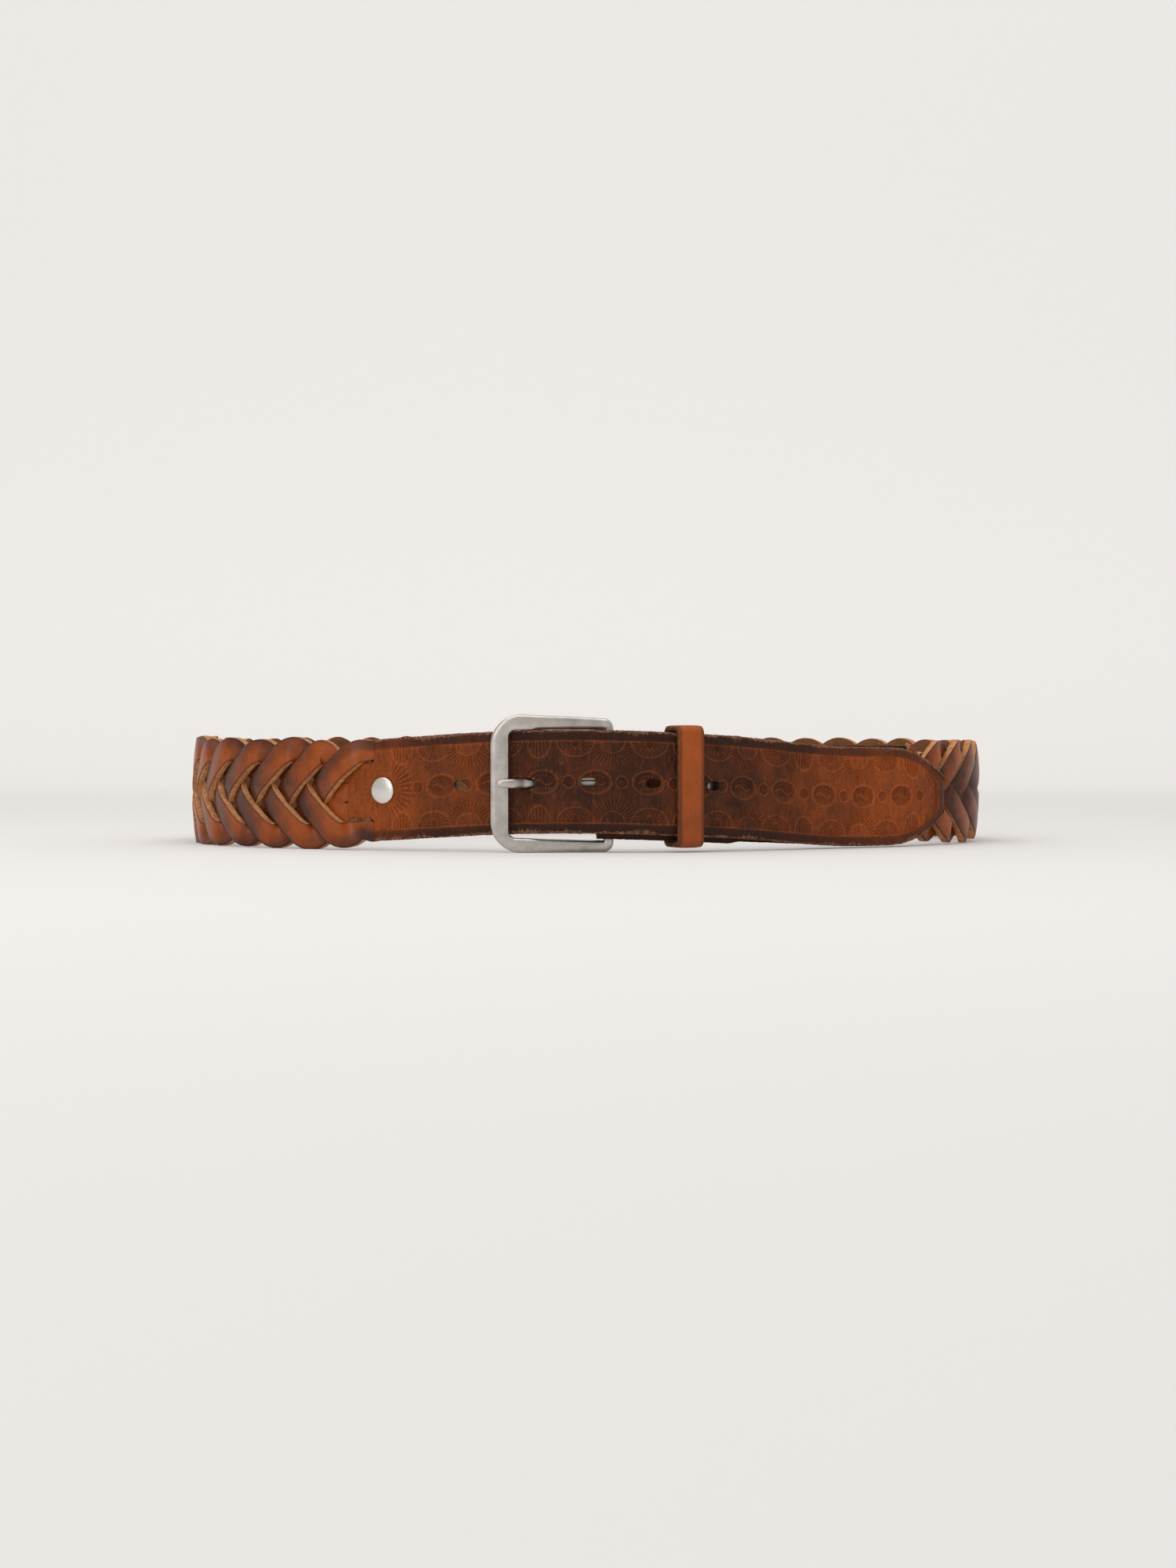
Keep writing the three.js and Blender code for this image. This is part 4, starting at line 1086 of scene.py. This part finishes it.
# %% Raw fibre group
fibre = new_group("raw_fibre", [("Scale", "Float", 700.0), ("Light", "Color", (0.5, 0.25, 0.1, 1)),
                                ("Dark", "Color", (0.12, 0.05, 0.02, 1))],
                  [("Color", "Color"), ("Height", "Float")])
net = Net(fibre)
inp, outp = fibre.nodes["in"], fibre.nodes["out"]
where = net.where()
strand_noise = net.noise(where, inp.outputs["Scale"], 6, 0.7)
clump = net.noise(where, net.times(inp.outputs["Scale"], 0.25), 3)
blend = net.plus(net.times(strand_noise, 0.65), net.times(clump, 0.35))
share = net.spread(blend, 0.36, 0.66)
net.feed(outp, {"Color": net.mix(share, inp.outputs["Dark"], inp.outputs["Light"]),
                "Height": strand_noise})
print("group:", fibre.name)

# %% [markdown]
# ## Leather materials
#
# One recipe makes the straps, the braid and the keeper. The grain side takes a dark or a bright
# dye according to the `tone` written on the mesh, darkens toward the rim and in the hollows,
# and is polished on the ridges. On the braid and the keeper the `tone` also carries painted
# light and shade. Cut edges and the flesh side stay fibrous and dull.

# %% Leather recipe
def new_material(name):
    material = bpy.data.materials.new(name)
    material.use_nodes = True
    return material, Net(material.node_tree), material.node_tree.nodes["Principled BSDF"]


def dyed_leather(name, dark, bright, rim, raw_light, raw_dark, suede, ridge_color, rough, coat,
                 scale, bump, mottle, streaks=0.0, scuffs=0.0, shading=(0.15, 0.8, 0.75, 1.1)):
    material, net, shader = new_material(name)
    surface, raw = (net.add("Group", node_tree=group) for group in (grain, fibre))
    net.feed(surface, {"Scale": scale, "Streaks": streaks})
    net.feed(raw, {"Light": (*raw_light, 1), "Dark": (*raw_dark, 1)})
    cloud = net.spread(surface.outputs["Mottle"], 0.3, 0.7, -mottle / 2, mottle / 2)
    # The mesh's tone picks between the dark and the bright dye; on the braid and the keeper it also holds painted
    # light and shade.
    tone = net.plus(net.field("tone"), cloud, clamp=True)
    color = net.mix(tone, (*dark, 1), (*bright, 1))
    rubbed = net.times(surface.outputs["Scuffs"], scuffs)
    between = tuple(0.5 * d + 0.42 * b + 0.02 for d, b in zip(dark, bright))
    color = net.mix(rubbed, color, (*between, 1))
    worn = net.plus(net.field("rim"), net.times(cloud, 0.3), clamp=True)
    soaked = net.math("SUBTRACT", 0.95, net.times(tone, 0.35))
    color = net.mix(net.times(net.spread(worn, 0.05, 0.85), soaked), color, (*rim, 1))
    hollow = net.times(net.field("sunk"), 0.46, clamp=True)
    color = net.mix(hollow, color, tuple(0.5 * c for c in dark) + (1,))
    lift = net.plus(net.times(net.field("ridge"), 0.8),
                    net.times(net.field("score"), 0.9), clamp=True)
    lighter = net.mix(0.36, net.mix(1.0, color, (2.1, 1.9, 1.7, 1), "MULTIPLY"), (*ridge_color, 1))
    color = net.mix(lift, color, lighter)
    pores = net.spread(surface.outputs["Height"], *shading)
    shade = net.feed(net.add("CombineColor"), {0: pores, 1: pores, 2: pores})
    color = net.mix(1.0, color, shade, "MULTIPLY")
    color = net.mix(net.field("cut"), color, raw.outputs["Color"])
    hairy = net.mix(0.18, (*suede, 1), raw.outputs["Color"])
    color = net.mix(net.field("flesh"), color, hairy)
    bare = net.math("MAXIMUM", net.field("cut"), net.field("flesh"))
    dull = net.plus(rough, net.times(surface.outputs["Mottle"], 0.16))
    dull = net.plus(dull, net.times(net.field("sunk"), 0.2))
    spread_rough = net.plus(net.times(bare, 0.45), dull, clamp=True)
    covered = net.math("SUBTRACT", 1.0, bare, clamp=True)
    relief = net.plus(net.times(surface.outputs["Height"], covered),
                      net.times(raw.outputs["Height"], net.times(bare, 2.5)))
    net.feed(shader, {"Base Color": color, "Roughness": spread_rough,
                      "Coat Weight": net.times(covered, coat),
                      "Coat Roughness": 0.24, "Specular IOR Level": 0.15,
                      "Normal": net.bump(relief, bump, 0.0005)})
    return material


tooled = dyed_leather(
    "tooled_leather", dark=(0.043, 0.0110, 0.0030), bright=(0.30, 0.062, 0.0075),
    rim=(0.030, 0.0090, 0.0040), raw_light=(0.33, 0.155, 0.09), raw_dark=(0.07, 0.03, 0.02),
    suede=(0.10, 0.045, 0.02), ridge_color=(0.32, 0.095, 0.026), rough=0.48, coat=0.05,
    scale=1100.0, bump=0.5, mottle=0.3, streaks=1.0, scuffs=0.6, shading=(0.55, 1.3, 0.55, 1.25))
braided = dyed_leather(
    "burnished_leather", dark=(0.060, 0.0130, 0.0045), bright=(0.35, 0.070, 0.005),
    rim=(0.046, 0.0130, 0.0070), raw_light=(0.72, 0.345, 0.150), raw_dark=(0.40, 0.165, 0.062),
    suede=(0.080, 0.028, 0.011), ridge_color=(0.3, 0.1, 0.04), rough=0.36, coat=0.32, scale=1300.0,
    bump=0.12, mottle=0.45)
plain = dyed_leather(
    "keeper_leather", dark=(0.17, 0.041, 0.012), bright=(0.42, 0.090, 0.013),
    rim=(0.085, 0.022, 0.010), raw_light=(0.22, 0.095, 0.035), raw_dark=(0.06, 0.025, 0.012),
    suede=(0.08, 0.03, 0.012), ridge_color=(0.4, 0.14, 0.05), rough=0.38, coat=0.14, scale=1300.0,
    bump=0.16, mottle=0.3)
print("leathers:", tooled.name, braided.name, plain.name)

# %% [markdown]
# ## Metals
#
# The buckle is cast and plated in a soft, brushed nickel: nearly white, a little warm, with a
# satin sheen rather than a mirror. Fine stretched noise makes the brushing, and larger noise
# the uneven wear of the plate.

# %% Satin metal recipe
def satin_metal(name, color, dark, rough, stretch, brushing):
    material, net, shader = new_material(name)
    brush = net.noise(net.stretched(stretch), 900.0, 3)
    wear = net.noise(net.where(), 160.0, 4, 0.6)
    net.feed(shader, {"Base Color": net.mix(net.spread(wear, 0.35, 0.75), (*color, 1), (*dark, 1)),
                      "Metallic": 1.0, "Roughness": net.plus(rough, net.times(brush, 0.16)),
                      "Normal": net.bump(brush, brushing, 0.0002)})
    return material


nickel = satin_metal("satin_nickel", color=(0.60, 0.565, 0.525), dark=(0.44, 0.41, 0.375),
                     rough=0.26, stretch=(0.3, 1.0, 2.4), brushing=0.12)
cap_metal = satin_metal("rivet_nickel", color=(0.76, 0.74, 0.70), dark=(0.68, 0.65, 0.60),
                        rough=0.24, stretch=(1.0, 1.0, 1.0), brushing=0.03)
print("metals:", nickel.name, cap_metal.name)

# %% [markdown]
# ## Putting the pieces on their bodies
#
# Each visible piece takes the place of its engineering solid, and rides on the body that moves
# it: the straps and the braid stay, the buckle and the prong turn about the heel bar, and the
# keeper travels along the strap.

# %% Ride and replace
def dress(obj, material, body, slot, *nodes):
    obj.data.materials.clear()
    obj.data.materials.append(material)
    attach(obj, body)
    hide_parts(*nodes)
    return obj.name


dressed = [
    dress(tip_strap, tooled, "belt", "strap_leather", "tip_strap"),
    dress(buckle_strap, tooled, "belt", "strap_leather", "buckle_strap"),
    dress(buckle, nickel, "frame", "buckle_metal", "buckle_frame"),
    dress(prong, nickel, "prong", "buckle_metal", "buckle_prong"),
    dress(keeper, plain, "keeper", "keeper_leather", "keeper_loop"),
    dress(staple, cap_metal, "keeper", "wire", "keeper_staple"),
    dress(tip_cap, cap_metal, "belt", "rivet_metal", "tip_rivet_cap"),
    dress(tip_burr, cap_metal, "belt", "rivet_metal", "tip_rivet_burr"),
    dress(fold_cap, cap_metal, "belt", "rivet_metal", "fold_rivet_cap"),
    dress(fold_burr, cap_metal, "belt", "rivet_metal", "fold_rivet_burr"),
]
dressed += [dress(obj, braided, "belt", "braid_leather", f"braid_strand_{k + 1}")
            for k, obj in enumerate(strands)]
print(len(dressed), "pieces:", ", ".join(dressed))

# %% [markdown]
# ## Floor and light
#
# A pale sweep of paper: a floor that curves up into a wall far behind, so there is no horizon.
# One wide soft light hangs above and in front, a weaker one fills from the left, and the world
# gives the rest, which keeps the contact shadow faint. The paper glows a little where the lights
# don't reach, so it stays even and its far edges melt into the world.

# %% Sweep
a = np.linspace(0, np.pi / 2, 24)
REACH, BEND_AT, BEND_R, WALL = 12.0, 1.4, 1.2, 5.0
profile = [(-REACH, 0.0), (BEND_AT, 0.0)]
profile += [(BEND_AT + BEND_R * math.sin(x), BEND_R - BEND_R * math.cos(x)) for x in a[1:]]
profile += [(BEND_AT + BEND_R, WALL)]
sweep_mesh = bpy.data.meshes.new("sweep")
rows = [(x, y, z) for x in (-REACH, REACH) for y, z in profile]
count = len(profile)
sweep_mesh.from_pydata(rows, [], [(k, k + 1, count + k + 1, count + k) for k in range(count - 1)])
sweep_mesh.shade_smooth()
sweep = new_object("sweep", sweep_mesh)
paper, net, shader = new_material("paper")
split = net.add("SeparateXYZ")
net.join(net.where(), split.inputs[0])
glow = net.plus(net.spread(split.outputs[1], 0.2, 2.2, 0.0, 0.23),
                net.spread(split.outputs[1], -1.0, -0.4, 0.0, 0.05))
far_side = net.spread(net.math("ABSOLUTE", split.outputs[0]), 1.3, 3.0)
far_front = net.spread(split.outputs[1], -3.0, -1.6, 1.0, 0.0)
glow = net.plus(glow, net.times(net.math("MAXIMUM", far_side, far_front), 0.11))
net.feed(shader, {"Base Color": (0.80, 0.788, 0.776, 1), "Roughness": 0.95,
                  "Specular IOR Level": 0.1, "Emission Color": (1.0, 0.975, 0.955, 1), "Emission Strength": glow})
sweep_mesh.materials.append(paper)
sweep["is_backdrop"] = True
print("sweep:", count, "rows")


# %% Lights
def soft_light(name, where, aim, size, power):
    data = bpy.data.lights.new(name, "AREA")
    data.shape, data.size, data.size_y = "RECTANGLE", size[0], size[1]
    data.energy = power
    obj = new_object(name, data)
    obj.location = where
    obj.rotation_euler = (Vector(aim) - Vector(where)).to_track_quat("-Z", "Y").to_euler()


soft_light("top_light", (-0.15, -0.45, 1.5), (0, 0, 0), (1.8, 1.4), 11)
soft_light("front_light", (-0.9, -1.6, 0.7), (0, 0, 0.03), (1.0, 1.0), 5)
world = bpy.data.worlds.new("world")
bpy.context.scene.world = world
world.use_nodes = True
world.node_tree.nodes["Background"].inputs[0].default_value = (1.0, 0.975, 0.95, 1)
world.node_tree.nodes["Background"].inputs[1].default_value = 0.565
bpy.context.scene.view_settings.view_transform = "Standard"
print("lights placed")
